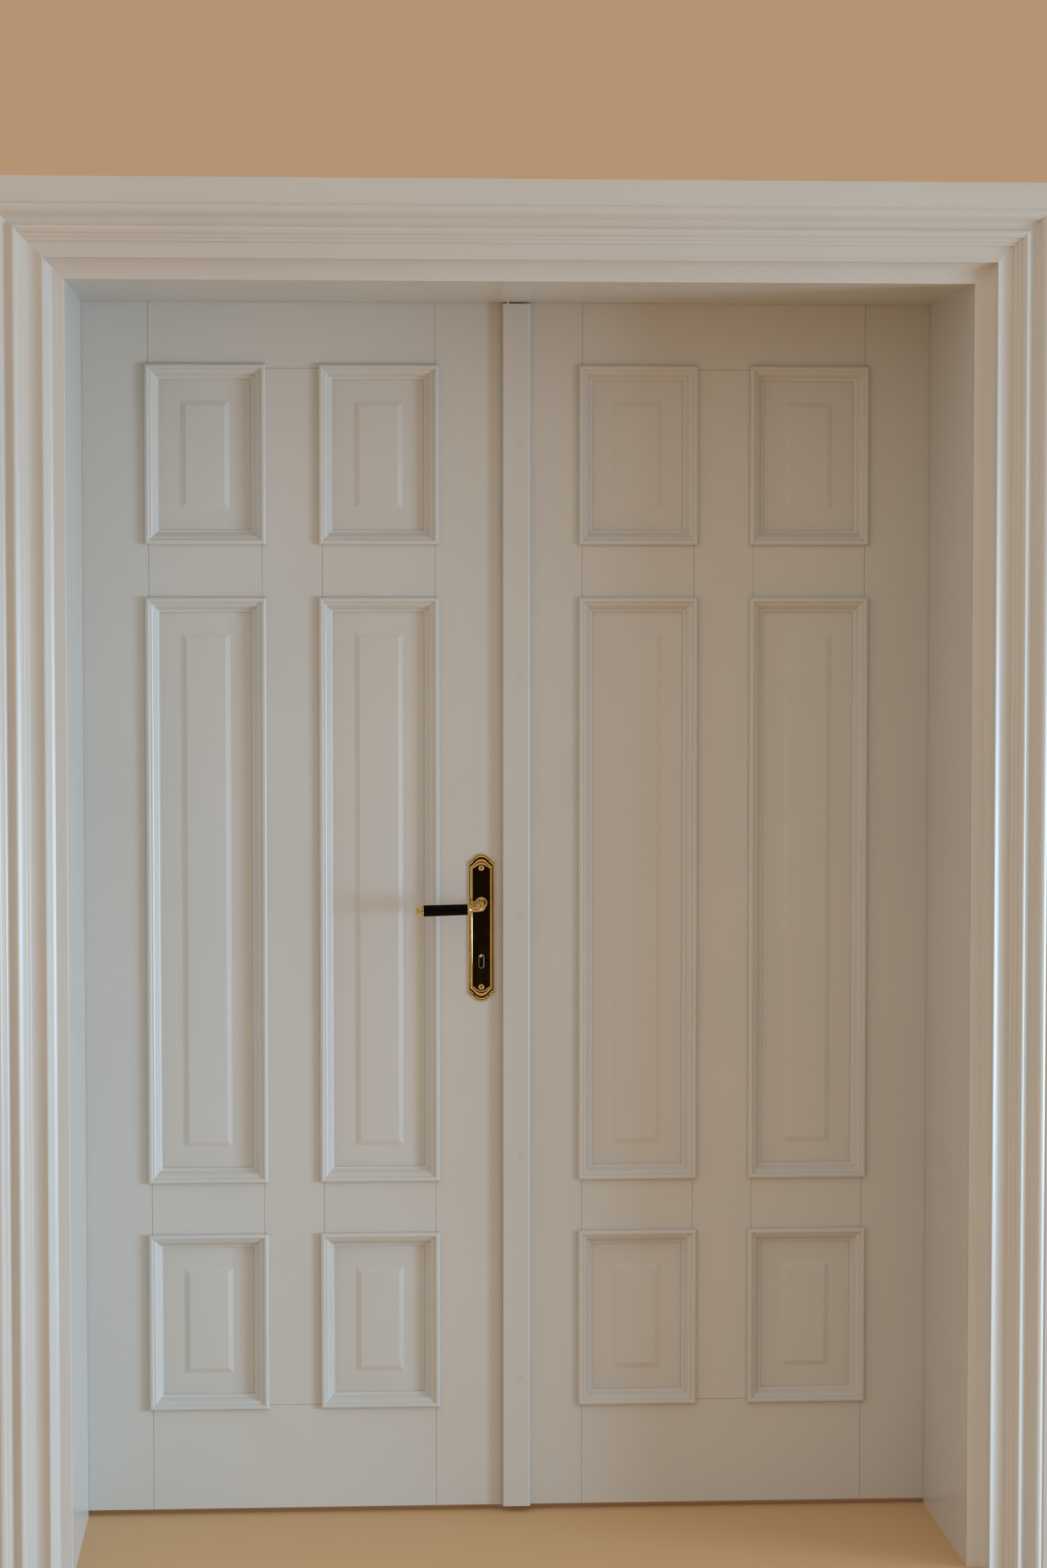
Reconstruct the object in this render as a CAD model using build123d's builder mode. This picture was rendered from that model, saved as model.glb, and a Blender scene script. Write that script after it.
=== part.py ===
from build123d import *
from math import cos, radians, sin
import os

# Double door, six panels to each leaf, in a deep lining with moulded casings on both sides.
# Millimetres. X runs along the opening from its middle, Y from the near side to the far side,
# Z up from the floor. The pieces are drawn with Y 0 at the leaves' near faces, and save() then
# centres the whole on Y. The left leaf is the active one.

os.makedirs("parts", exist_ok=True)

LEFT = -1
RIGHT = 1
NEAR = -1
FAR = 1

# Opening
clear_width = 1400.0
clear_height = 2010.0
reveal_depth = 390.0
floor_gap = 10.0

# Lining
lining_thickness = 44.0
rebate_depth = 14.0
stop_gap = 1.5
fixing_hole_radius = 4.0
fixing_heights = (400.0, 1300.0, 1940.0)
fixing_inset = 15.0

# Leaves
leaf_thickness = 44.0
meeting_gap = 4.5
hinge_gap = 3.0
stile_width = 119.0
muntin_width = 98.0
bottom_rail_height = 172.5
bottom_panel_height = 282.5
lower_rail_height = 97.0
upper_rail_height = 98.5
top_panel_height = 283.5
top_rail_height = 119.0

# Joinery
groove_width = 12.0
groove_depth = 11.0
groove_play = 1.0
tongue_play = 0.3
tenon_length = 60.0
short_tenon_length = 36.0
tenon_shoulder = 25.0
mortise_play = 1.0
joint_chamfer = 1.2

# Fielded panels
panel_sheet = 20.0
field_inset = 53.0
field_bevel = 8.6
field_rise = 4.5
panel_play = 0.5

# Panel mouldings
moulding_overlap = 6.0
moulding_reach = 18.0
moulding_proud = 9.0
bead_width = 8.5
moulding_play = 0.2

# Casings
casing_inner_thickness = 12.0
casing_face_drop = 46.0
casing_lip = 1.0
casing_width = 151.0
rear_margin = 22.0

# Hinges
hinge_heights = (230.0, 1015.0, 1800.0)
hinge_height = 100.0
hinge_plate = 2.5
hinge_plate_inset = 14.0
hinge_screw_step = 34.0
knuckle_radius = 7.0
knuckle_clearance = 1.0
knuckle_split = 0.4
pin_radius = 3.5
pin_fit = 0.08
finial_radius = 5.0

# Wood screws
screw_head_radius = 4.0
screw_head_height = 2.2
screw_shank_radius = 1.9
screw_length = 22.0
short_screw_length = 11.0
screw_fit = 0.1
drive_radius = 1.3
drive_depth = 1.2

# Lock
backset = 43.5
spindle_height = 1020.0
key_drop = 90.0
case_depth = 72.0
case_thickness = 15.0
case_wall = 1.5
case_above = 48.0
case_below = 45.0
case_play = 0.4
faceplate_width = 20.0
faceplate_height = 235.0
faceplate_thickness = 3.0
faceplate_drop = 42.0
faceplate_screw_inset = 10.0
latch_height = 18.0
latch_width = 11.0
latch_length = 25.0
latch_throw = 11.0
latch_bevel = 8.0
latch_nose = 1.5
latch_rise = 26.0
tail_height = 8.0
tail_width = 6.0
bolt_height = 20.0
bolt_width = 10.0
bolt_length = 32.0
bolt_tail_length = 26.0
bolt_throw = 14.0
bolt_rise = 24.0
slide_fit = 0.3
strike_play = 2.6
keep_depth = 16.0
spindle_side = 8.0
spindle_end_gap = 0.2
spindle_fit = 0.05
spindle_bore_radius = 8.0
hub_radius = 12.0
hub_thickness = 9.0
journal_radius = 9.0
journal_fit = 0.08
arm_reach = 19.0
arm_width = 6.0
lug_drop = 13.0
lug_length = 4.0
lug_gap = 1.3

# Lock plates
plate_width = 43.4
plate_shoulder_height = 219.0
plate_arch = 13.8
plate_drop = 41.0
plate_base = 2.2
plate_rim = 2.0
plate_groove = 2.1
plate_band = 3.2
plate_rim_rise = 1.2
plate_band_rise = 1.9
plate_edge_chamfer = 0.6
plate_screw_spacing = 198.0
plate_screw_length = 21.0
dome_radius = 4.7
dome_rise = 1.7
keyhole_width = 9.0
keyhole_length = 23.5
keyhole_play = 1.0

# Lever handles
lever_journal_radius = 6.4
running_gap = 0.3
boss_rings = ((9.8, 3.2), (8.6, 1.0), (9.2, 2.8), (7.6, 1.0), (8.2, 2.6), (6.2, 1.0), (6.6, 2.9))
neck_radius = 4.3
neck_overlap = 1.0
lever_standoff = 55.0
lever_drop = 5.6
lever_slope = 1.5
neck_bend = 9.0
neck_reach = 16.6
ferrule_length = 8.8
ferrule_rim = 0.2
grip_length = 72.0
grip_radius = 9.4
grip_taper = 0.3
grip_round = 0.8
tang_radius = 3.0
tang_end = 3.0
cap_radius = 8.8
cap_neck_radius = 4.2
cap_button_radius = 6.0
cap_length = 14.5

# Astragal
astragal_width = 46.0
astragal_overlap = 10.5
astragal_thickness = 16.0
astragal_round = 6.0
astragal_arris = 1.0
astragal_relief_inner = 1.0
astragal_relief_outer = 3.8
astragal_head_gap = 3.0
astragal_screw_heights = (225.0, 600.0, 1000.0, 1400.0, 1780.0)
astragal_screw_length = 30.0

# Flush bolts
flush_rod_radius = 5.0
flush_rod_length = 230.0
flush_travel = 20.0
flush_inset = 20.0
flush_tip_gap = 0.5
flush_end_play = 1.0
flush_plate_height = 190.0
flush_plate_width = 18.0
flush_plate_thickness = 2.5
flush_slot_width = 7.0
flush_lug_height = 12.0
keep_hole_radius = 6.0
keep_plate_length = 60.0
keep_screw_step = 20.0

# Lines and levels worked out from the sizes above
half_width = clear_width / 2
lining_outer = half_width + lining_thickness
rebate_side = half_width + rebate_depth
rebate_top = clear_height + rebate_depth
leaf_edge = rebate_side - hinge_gap
leaf_meeting = meeting_gap / 2
leaf_bottom = floor_gap
leaf_top = rebate_top - hinge_gap
leaf_mid = leaf_thickness / 2
leaf_faces = (0, leaf_thickness)
hinge_joint = leaf_edge - stile_width
meeting_joint = leaf_meeting + stile_width
panel_width = (hinge_joint - meeting_joint - muntin_width) / 2
muntin_outer = hinge_joint - panel_width
muntin_inner = meeting_joint + panel_width
columns = ((hinge_joint + muntin_outer) / 2, (muntin_inner + meeting_joint) / 2)

bottom_rail_top = leaf_bottom + bottom_rail_height
lower_rail_bottom = bottom_rail_top + bottom_panel_height
lower_rail_top = lower_rail_bottom + lower_rail_height
top_rail_bottom = leaf_top - top_rail_height
upper_rail_top = top_rail_bottom - top_panel_height
upper_rail_bottom = upper_rail_top - upper_rail_height

bottom_rail = (leaf_bottom, bottom_rail_top)
lower_rail = (lower_rail_bottom, lower_rail_top)
upper_rail = (upper_rail_bottom, upper_rail_top)
top_rail = (top_rail_bottom, leaf_top)
bottom_opening = (bottom_rail_top, lower_rail_bottom)
tall_opening = (lower_rail_top, upper_rail_bottom)
top_opening = (upper_rail_top, top_rail_bottom)

groove_reach = groove_depth - groove_play
groove_faces = (leaf_mid - groove_width / 2, leaf_mid + groove_width / 2)
panel_depth = leaf_mid - panel_sheet / 2

casing_face = casing_inner_thickness + casing_face_drop
wall_near = casing_inner_thickness - reveal_depth

hinge_axis_x = (rebate_side + leaf_edge) / 2
hinge_axis_y = leaf_thickness + knuckle_radius + knuckle_clearance
hinge_screw_y = (hinge_plate_inset + leaf_thickness) / 2

lock_x = -(leaf_meeting + backset)
edge_plate_back = leaf_meeting + faceplate_thickness
case_back = edge_plate_back + case_depth
key_level = spindle_height - key_drop
case_levels = (key_level - case_below, spindle_height + case_above)
case_faces = (leaf_mid - case_thickness / 2, leaf_mid + case_thickness / 2)
faceplate_center = spindle_height - faceplate_drop
plate_center = spindle_height - plate_drop
faceplate_levels = (faceplate_center - faceplate_height / 2, faceplate_center + faceplate_height / 2)
faceplate_faces = (leaf_mid - faceplate_width / 2, leaf_mid + faceplate_width / 2)
latch_level = spindle_height + latch_rise
bolt_level = key_level + bolt_rise
keyhole_level = key_level + keyhole_width / 2 - keyhole_length / 2
boss_start = plate_base + running_gap
boss_end = boss_start + sum(length for radius, length in boss_rings)
socket_end = boss_end - neck_overlap
flush_x = leaf_meeting + flush_inset

near_reach = casing_face + casing_lip - wall_near
far_reach = leaf_thickness + lever_standoff + grip_radius + ferrule_rim
leaf_near = (near_reach - far_reach) / 2


def save(piece, name):
    """Labels a finished piece, centres it with the whole and writes it under that name."""
    placed = piece.part.moved(Location((0, leaf_near, 0)))
    placed.label = name
    export_step(placed, "parts/" + name + ".step")


def block(x_span, y_span, z_span, mode=Mode.ADD):
    """Adds or cuts a box between two corners."""
    spans = (x_span, y_span, z_span)
    with Locations(tuple((low + high) / 2 for low, high in spans)):
        Box(*(abs(high - low) for low, high in spans), mode=mode)


def about(middle, size):
    """The span of a size laid out evenly about a middle."""
    return (middle - size / 2, middle + size / 2)


def across(side, inner, outer):
    """The X span between two distances from the middle, on one side of it."""
    return (side * inner, side * outer)


def turned(start, along, outline, mode=Mode.ADD):
    """Adds or cuts a turned shape; the outline gives distances along its axis and radii."""
    normal = (0, 0, 1) if along[2] == 0 else (0, 1, 0)
    with BuildSketch(Plane(origin=start, x_dir=along, z_dir=normal)) as profile:
        with BuildLine():
            Polyline((outline[0][0], 0), *outline, (outline[-1][0], 0), (outline[0][0], 0))
        make_face()
    revolve(profile.sketch, axis=Axis(start, along), mode=mode)


def bar(start, along, radius, length, mode=Mode.ADD):
    """Adds or cuts a plain round bar."""
    turned(start, along, ((0, radius), (length, radius)), mode)


def wood_screw(start, along, length):
    """Adds a countersunk screw whose head lies flush with the surface at its start."""
    turned(start, along, ((0, screw_head_radius), (screw_head_height, screw_shank_radius),
                          (length, screw_shank_radius)))
    bar(start, along, drive_radius, drive_depth, Mode.SUBTRACT)


def screw_hole(start, along, length):
    """Cuts the countersunk hole that such a screw fits."""
    turned(start, along, ((0, screw_head_radius + screw_fit),
                          (screw_head_height, screw_shank_radius + screw_fit),
                          (length + screw_fit, screw_shank_radius + screw_fit)), Mode.SUBTRACT)


def hinge_levels(height):
    """The levels of a hinge's two plates."""
    return about(height, hinge_height)


def hinge_screw_points(surface):
    """The places of the hinge screws on a plate whose face is at a given X."""
    return [(surface, hinge_screw_y, height + step * hinge_screw_step)
            for height in hinge_heights for step in (-1, 0, 1)]


def fixing_points(side):
    """The places of the lining's wall fixings, inside the rebate."""
    return [(side * rebate_side, leaf_thickness - fixing_inset, height)
            for height in fixing_heights]


def keep_screw_points():
    """The places of the two screws in the head's keep plate."""
    return [(flush_x + step * keep_screw_step, leaf_mid, rebate_top) for step in (-1, 1)]


# Lining: two jambs and a head, each a deep board with a rebate on the far side

for side, name in ((LEFT, "jamb_lining_left"), (RIGHT, "jamb_lining_right")):
    with BuildPart() as jamb:
        block(across(side, half_width, lining_outer), (wall_near, -stop_gap), (0, clear_height))
        block(across(side, rebate_side, lining_outer), (-stop_gap, leaf_thickness), (0, rebate_top))
        for point in fixing_points(side):
            bar(point, (side, 0, 0), fixing_hole_radius, lining_outer - rebate_side, Mode.SUBTRACT)
        for height in hinge_heights:
            block(across(side, rebate_side, rebate_side + hinge_plate),
                  (hinge_plate_inset, leaf_thickness), hinge_levels(height), Mode.SUBTRACT)
        for point in hinge_screw_points(side * rebate_side):
            screw_hole(point, (side, 0, 0), screw_length)
    save(jamb, name)

with BuildPart() as head:
    block((-lining_outer, lining_outer), (wall_near, -stop_gap),
          (clear_height, clear_height + lining_thickness))
    block((-lining_outer, lining_outer), (-stop_gap, leaf_thickness),
          (rebate_top, clear_height + lining_thickness))
    block(about(flush_x, keep_plate_length), about(leaf_mid, flush_plate_width),
          (rebate_top, rebate_top + flush_plate_thickness), Mode.SUBTRACT)
    bar((flush_x, leaf_mid, rebate_top), (0, 0, 1), keep_hole_radius,
        flush_travel + flush_end_play, Mode.SUBTRACT)
    for point in keep_screw_points():
        screw_hole(point, (0, 0, 1), screw_length)
save(head, "head_lining")

with BuildPart() as keep_plate:
    block(about(flush_x, keep_plate_length), about(leaf_mid, flush_plate_width),
          (rebate_top, rebate_top + flush_plate_thickness))
    bar((flush_x, leaf_mid, rebate_top), (0, 0, 1), keep_hole_radius, flush_plate_thickness,
        Mode.SUBTRACT)
    for point in keep_screw_points():
        screw_hole(point, (0, 0, 1), screw_length)
save(keep_plate, "head_keep_plate")


# Casings: one moulded section, mitred at the head, on the near and the far side of the wall

def casing_section(plane):
    """The casing's section: its plane's X runs outward from the opening, its Y out of the wall."""
    inner = casing_inner_thickness
    arris = inner + 25
    crest = inner + 38.5
    valley = crest - 6
    face = casing_face
    with BuildSketch(plane) as section:
        with BuildLine():
            Polyline((0, 0), (0, inner - 1), (1, inner), (18, inner + 0.8))
            ThreePointArc((18, inner + 0.8), (26.5, inner + 8.5), (31, arris - 1))
            Polyline((31, arris - 1), (31, arris), (33, arris))
            ThreePointArc((33, arris), (44, arris - 4), (56, arris - 2.5))
            Polyline((56, arris - 2.5), (56, arris + 0.8), (61.5, arris + 2.6), (61.5, arris + 4.8),
                     (67.5, arris + 7), (67.5, arris + 9.4), (73.5, crest))
            ThreePointArc((73.5, crest), (77, crest - 0.6), (79.5, crest - 4))
            Polyline((79.5, crest - 4), (83, valley), (86, valley))
            ThreePointArc((86, valley), (91, valley + 2.6), (94.5, valley + 7))
            Polyline((94.5, valley + 7), (94.5, valley + 8.6), (96, valley + 9))
            ThreePointArc((96, valley + 9), (99, valley + 12.6), (104, face + casing_lip))
            Polyline((104, face + casing_lip), (106, face + casing_lip), (110, face - 1.6),
                     (112, face - 1.6), (112, face), (casing_width - 1.5, face),
                     (casing_width, face - 1.5), (casing_width, 0), (0, 0))
        make_face()
    return section.sketch


def casing_set(prefix, inner, head_level, wall, out):
    """Makes the left, right and head casing on one side of the wall."""
    outer = inner + casing_width
    left_mitre = Plane(origin=(-inner, wall, head_level), z_dir=(1, 0, 1))
    right_mitre = Plane(origin=(inner, wall, head_level), z_dir=(-1, 0, 1))
    with BuildPart() as left_casing:
        extrude(casing_section(Plane(origin=(-inner, wall, 0), x_dir=(-1, 0, 0),
                                     z_dir=(0, 0, -out))),
                amount=-out * (head_level + casing_width))
        split(bisect_by=left_mitre, keep=Keep.BOTTOM)
    save(left_casing, prefix + "_casing_left")

    with BuildPart() as right_casing:
        mirror(left_casing.part, about=Plane.YZ)
    save(right_casing, prefix + "_casing_right")

    with BuildPart() as head_casing:
        extrude(casing_section(Plane(origin=(out * outer, wall, head_level), x_dir=(0, 0, 1),
                                     z_dir=(-out, 0, 0))),
                amount=2 * outer)
        split(bisect_by=left_mitre, keep=Keep.TOP)
        split(bisect_by=right_mitre, keep=Keep.TOP)
    save(head_casing, prefix + "_casing_head")


casing_set("front", half_width, clear_height, wall_near, NEAR)
casing_set("rear", half_width + rear_margin, clear_height + rear_margin, leaf_thickness, FAR)


# Leaf joinery: stiles run the full height, rails and muntins tongue and tenon into them

def groove(x_span, z_span):
    """Cuts a groove or mortise in the middle of the leaf's thickness."""
    block(x_span, groove_faces, z_span, Mode.SUBTRACT)


def tongue(x_span, z_span):
    """Adds a tongue or tenon that fills the groove's width."""
    block(x_span, groove_faces, z_span)


def tenon_levels(rail):
    """The height that a rail's tenons take, clear of the grooves in its edges."""
    return (rail[0] + tenon_shoulder, rail[1] - tenon_shoulder)


def rail_mortises(side, joint, away, length):
    """Cuts a mortise for each rail into an upright whose edge is at a joint line."""
    for rail in (bottom_rail, lower_rail, upper_rail, top_rail):
        groove(across(side, joint, joint + away * (length + mortise_play)), tenon_levels(rail))


def rail_body(side, inner, outer, rail):
    """Adds a rail's body, with a fine chamfer on the face edges of its shoulders."""
    with BuildSketch(Plane.XY.offset(rail[0])) as body:
        with Locations((side * (inner + outer) / 2, leaf_mid)):
            Rectangle(outer - inner, leaf_thickness)
        chamfer(body.vertices(), length=joint_chamfer)
    extrude(body.sketch, amount=rail[1] - rail[0])


def long_rail(side, rail, inner_edge, inward):
    """Adds the top or bottom rail of a leaf, grooved and mortised on its inner edge."""
    rail_body(side, meeting_joint, hinge_joint, rail)
    tongue(across(side, meeting_joint - groove_reach, hinge_joint + groove_reach), rail)
    groove(across(side, meeting_joint - groove_depth, hinge_joint + groove_depth),
           (inner_edge, inner_edge + inward * groove_depth))
    tongue(across(side, meeting_joint - tenon_length, hinge_joint + tenon_length),
           tenon_levels(rail))
    groove(across(side, muntin_inner + tenon_shoulder, muntin_outer - tenon_shoulder),
           (inner_edge, inner_edge + inward * (short_tenon_length + mortise_play)))


def cross_rail(side, inner, outer, inner_tenon, outer_tenon, rail):
    """Adds a short rail between a stile and the muntin, grooved on both edges."""
    rail_body(side, inner, outer, rail)
    tongue(across(side, inner - groove_reach, outer + groove_reach), rail)
    for edge, inward in ((rail[0], 1), (rail[1], -1)):
        groove(across(side, inner - groove_depth, outer + groove_depth),
               (edge, edge + inward * groove_depth))
    tongue(across(side, inner - inner_tenon, outer + outer_tenon), tenon_levels(rail))


def cross_rail_pair(side, rail):
    """Adds the two short rails of one level."""
    cross_rail(side, meeting_joint, muntin_inner, tenon_length, short_tenon_length, rail)
    cross_rail(side, muntin_outer, hinge_joint, short_tenon_length, tenon_length, rail)


def muntin_upright(side):
    """Adds a leaf's muntin, grooved on both edges and tenoned into the long rails."""
    with BuildSketch(Plane.YZ.offset(min(across(side, muntin_inner, muntin_outer)))) as body:
        with Locations((leaf_mid, (bottom_rail_top + top_rail_bottom) / 2)):
            Rectangle(leaf_thickness, top_rail_bottom - bottom_rail_top)
        chamfer(body.vertices(), length=joint_chamfer)
    extrude(body.sketch, amount=muntin_width)
    between = (bottom_rail_top, top_rail_bottom)
    groove(across(side, muntin_inner, muntin_inner + groove_depth), between)
    groove(across(side, muntin_outer - groove_depth, muntin_outer), between)
    tongue(across(side, muntin_inner + groove_depth, muntin_outer - groove_depth),
           (bottom_rail_top - groove_reach, top_rail_bottom + groove_reach))
    tongue(across(side, muntin_inner + tenon_shoulder, muntin_outer - tenon_shoulder),
           (bottom_rail_top - short_tenon_length, top_rail_bottom + short_tenon_length))
    for rail in (lower_rail, upper_rail):
        reach = short_tenon_length + mortise_play
        groove(across(side, muntin_inner, muntin_inner + reach), tenon_levels(rail))
        groove(across(side, muntin_outer - reach, muntin_outer), tenon_levels(rail))


def fielded_panel(middle, opening):
    """Adds a panel: a sheet with thin edges in the grooves and a raised field on both faces."""
    low, high = opening
    block(about(middle, panel_width + 2 * groove_reach),
          about(leaf_mid, groove_width - 2 * tongue_play), (low - groove_reach, high + groove_reach))
    block(about(middle, panel_width - 2 * panel_play), about(leaf_mid, panel_sheet),
          (low + panel_play, high - panel_play))
    for turn in (NEAR, FAR):
        face = leaf_mid + turn * panel_sheet / 2
        field = []
        for inset, rise in ((field_inset, 0), (field_inset + field_bevel, field_rise)):
            with BuildSketch(Plane(origin=(middle, face + turn * rise, (low + high) / 2),
                                   x_dir=(1, 0, 0), z_dir=(0, turn, 0))) as step:
                Rectangle(panel_width - 2 * inset, high - low - 2 * inset)
            field.append(step.sketch.face())
        loft(field)


def moulding_section(plane):
    """The panel moulding's section: its plane's X runs inward from the opening's edge."""
    proud = moulding_proud
    seat = moulding_play - panel_depth
    quirk = bead_width - moulding_overlap
    with BuildSketch(plane) as section:
        with BuildLine():
            Line((-moulding_overlap, 0), (-moulding_overlap, 0.35 * proud))
            ThreePointArc((-moulding_overlap, 0.35 * proud), (quirk - 0.6 * bead_width, proud),
                          (quirk, 0.7 * proud))
            Polyline((quirk, 0.7 * proud), (quirk, 0.5 * proud), (quirk + 1, 0.53 * proud))
            ThreePointArc((quirk + 1, 0.53 * proud), (quirk + 5.2, 0.2 * proud),
                          (quirk + 8, -0.25 * proud))
            Line((quirk + 8, -0.25 * proud), (quirk + 8.8, -0.3 * proud))
            ThreePointArc((quirk + 8.8, -0.3 * proud), (moulding_reach - 4.8, -0.74 * proud),
                          (moulding_reach - 1.6, seat + 3))
            Polyline((moulding_reach - 1.6, seat + 3), (moulding_reach, seat + 2.4),
                     (moulding_reach, seat), (0, seat), (0, 0), (-moulding_overlap, 0))
        make_face()
    return section.sketch


def panel_moulding(middle, opening, turn):
    """Adds the mitred moulding round one panel opening, on the near or far face."""
    face = leaf_mid + turn * leaf_thickness / 2
    level = sum(opening) / 2
    width = panel_width / 2
    height = (opening[1] - opening[0]) / 2
    with BuildLine(Plane(origin=(middle, face, level), x_dir=(1, 0, 0), z_dir=(0, -1, 0))) as route:
        Polyline((-width, 0), (-width, height), (width, height), (width, -height),
                 (-width, -height), (-width, 0))
    start = Plane(origin=(middle - width, face, level), x_dir=(1, 0, 0), z_dir=(0, 0, turn))
    sweep(sections=moulding_section(start), path=route.wire(), transition=Transition.RIGHT)


# Cuts that the lock, the strike, the flush bolts and the hinges need in the leaves

def key_slot(start, depth, spare=0.0):
    """Cuts the keyhole from one Y to the far side, with some room to spare round it."""
    with BuildSketch(Plane(origin=(lock_x, start, keyhole_level), x_dir=(1, 0, 0),
                           z_dir=(0, 1, 0))) as slot:
        SlotOverall(keyhole_length + 2 * spare, keyhole_width + 2 * spare, rotation=90)
    extrude(slot.sketch, amount=depth, mode=Mode.SUBTRACT)


def plate_screw_levels():
    """The levels of the screws at the two ends of a lock plate."""
    return about(plate_center, plate_screw_spacing)


def faceplate_screw_levels():
    """The levels of the screws at the two ends of the faceplate and the strike plate."""
    return about(faceplate_center, faceplate_height - 2 * faceplate_screw_inset)


def edge_plate(side):
    """The spans of the faceplate or the strike plate, let into a meeting edge."""
    return (across(side, leaf_meeting, edge_plate_back), faceplate_faces, faceplate_levels)


def cut_lock():
    """Cuts the active leaf's meeting stile for the lock and its furniture."""
    block(*edge_plate(LEFT), mode=Mode.SUBTRACT)
    block(across(LEFT, edge_plate_back, case_back + case_play),
          about(leaf_mid, case_thickness + 2 * case_play),
          (case_levels[0] - case_play, case_levels[1] + case_play), Mode.SUBTRACT)
    bar((lock_x, 0, spindle_height), (0, 1, 0), spindle_bore_radius, leaf_thickness, Mode.SUBTRACT)
    key_slot(0, leaf_thickness, spare=keyhole_play)
    for level in plate_screw_levels():
        for face, turn in ((0, 1), (leaf_thickness, -1)):
            bar((lock_x, face, level), (0, turn, 0), screw_shank_radius + screw_fit,
                plate_screw_length - plate_base + screw_fit, Mode.SUBTRACT)
    for level in faceplate_screw_levels():
        screw_hole((-leaf_meeting, leaf_mid, level), (LEFT, 0, 0), screw_length)


def bolt_openings(side, inner, outer, latch_spare, bolt_spare):
    """Cuts the openings that the latch bolt and the dead bolt run in, in one meeting edge."""
    for level, height, width, spare in (
        (latch_level, latch_height, latch_width, latch_spare),
        (bolt_level, bolt_height, bolt_width, bolt_spare),
    ):
        block(across(side, inner, outer), about(leaf_mid, width + 2 * spare),
              about(level, height + 2 * slide_fit), Mode.SUBTRACT)


def flush_levels(end, inward):
    """The tip, tail, lug, slot and plate levels of a flush bolt that shoots past a leaf's end."""
    tip = end + inward * flush_tip_gap
    tail = tip + inward * flush_rod_length
    lug = (tail - inward * flush_lug_height, tail)
    slot = (lug[0] - inward * (flush_travel + flush_end_play), tail + inward * flush_end_play)
    plate = about(sum(slot) / 2, flush_plate_height)
    return tip, tail, lug, slot, plate


flush_bolts = (("upper_flush_bolt", leaf_top, -1), ("lower_flush_bolt", leaf_bottom, 1))


def flush_screw_levels(plate):
    """The levels of the screws at the two ends of a flush bolt's plate."""
    return (plate[0] + faceplate_screw_inset, plate[1] - faceplate_screw_inset)


def cut_strike_and_flush_bolts():
    """Cuts the passive leaf's meeting stile for the strike plate and the flush bolts."""
    block(*edge_plate(RIGHT), mode=Mode.SUBTRACT)
    bolt_openings(RIGHT, edge_plate_back, edge_plate_back + keep_depth, strike_play, slide_fit)
    for level in faceplate_screw_levels():
        screw_hole((leaf_meeting, leaf_mid, level), (RIGHT, 0, 0), screw_length)
    for name, end, inward in flush_bolts:
        tip, tail, lug, slot, plate = flush_levels(end, inward)
        bar((flush_x, leaf_mid, end), (0, 0, inward), flush_rod_radius + slide_fit,
            abs(tail - end) + flush_end_play, Mode.SUBTRACT)
        block((leaf_meeting, leaf_meeting + flush_plate_thickness),
              about(leaf_mid, flush_plate_width), plate, Mode.SUBTRACT)
        block((leaf_meeting, flush_x), about(leaf_mid, flush_slot_width), slot, Mode.SUBTRACT)
        for level in flush_screw_levels(plate):
            screw_hole((leaf_meeting, leaf_mid, level), (RIGHT, 0, 0), short_screw_length)
    for level in astragal_screw_heights:
        screw_hole(astragal_screw_point(level), (0, 1, 0), astragal_screw_length)


def astragal_screw_point(level):
    """The place of one of the astragal's screws, over the passive leaf's edge."""
    return ((leaf_meeting + astragal_width - astragal_overlap) / 2, -astragal_thickness, level)


for side, name in ((LEFT, "left"), (RIGHT, "right")):
    full_height = (leaf_bottom, leaf_top)

    with BuildPart() as hinge_stile:
        block(across(side, hinge_joint, leaf_edge), leaf_faces, full_height)
        groove(across(side, hinge_joint, hinge_joint + groove_depth), full_height)
        rail_mortises(side, hinge_joint, 1, tenon_length)
        for height in hinge_heights:
            block(across(side, leaf_edge - hinge_plate, leaf_edge),
                  (hinge_plate_inset, leaf_thickness), hinge_levels(height), Mode.SUBTRACT)
        for point in hinge_screw_points(side * leaf_edge):
            screw_hole(point, (-side, 0, 0), screw_length)
    save(hinge_stile, name + "_hinge_stile")

    with BuildPart() as meeting_stile:
        block(across(side, leaf_meeting, meeting_joint), leaf_faces, full_height)
        groove(across(side, meeting_joint - groove_depth, meeting_joint), full_height)
        rail_mortises(side, meeting_joint, -1, tenon_length)
        if side == LEFT:
            cut_lock()
        else:
            cut_strike_and_flush_bolts()
    save(meeting_stile, name + "_meeting_stile")

    with BuildPart() as lowest_rail:
        long_rail(side, bottom_rail, bottom_rail_top, -1)
    save(lowest_rail, name + "_bottom_rail")

    with BuildPart() as highest_rail:
        long_rail(side, top_rail, top_rail_bottom, 1)
    save(highest_rail, name + "_top_rail")

    with BuildPart() as muntin:
        muntin_upright(side)
    save(muntin, name + "_muntin")

    for level_name, rail in (("lower", lower_rail), ("upper", upper_rail)):
        with BuildPart() as cross_rails:
            cross_rail_pair(side, rail)
        save(cross_rails, name + "_" + level_name + "_cross_rails")

    for level_name, opening in (("bottom", bottom_opening), ("tall", tall_opening),
                                ("top", top_opening)):
        with BuildPart() as panel_pair:
            for column in columns:
                fielded_panel(side * column, opening)
        save(panel_pair, name + "_" + level_name + "_panels")

    for turn, face_name in ((NEAR, "near"), (FAR, "far")):
        with BuildPart() as mouldings:
            for column in columns:
                for opening in (bottom_opening, tall_opening, top_opening):
                    panel_moulding(side * column, opening, turn)
        save(mouldings, name + "_" + face_name + "_mouldings")


# Hinges: lift-off hinges with plates let into the rebate and the leaf's edge

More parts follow.
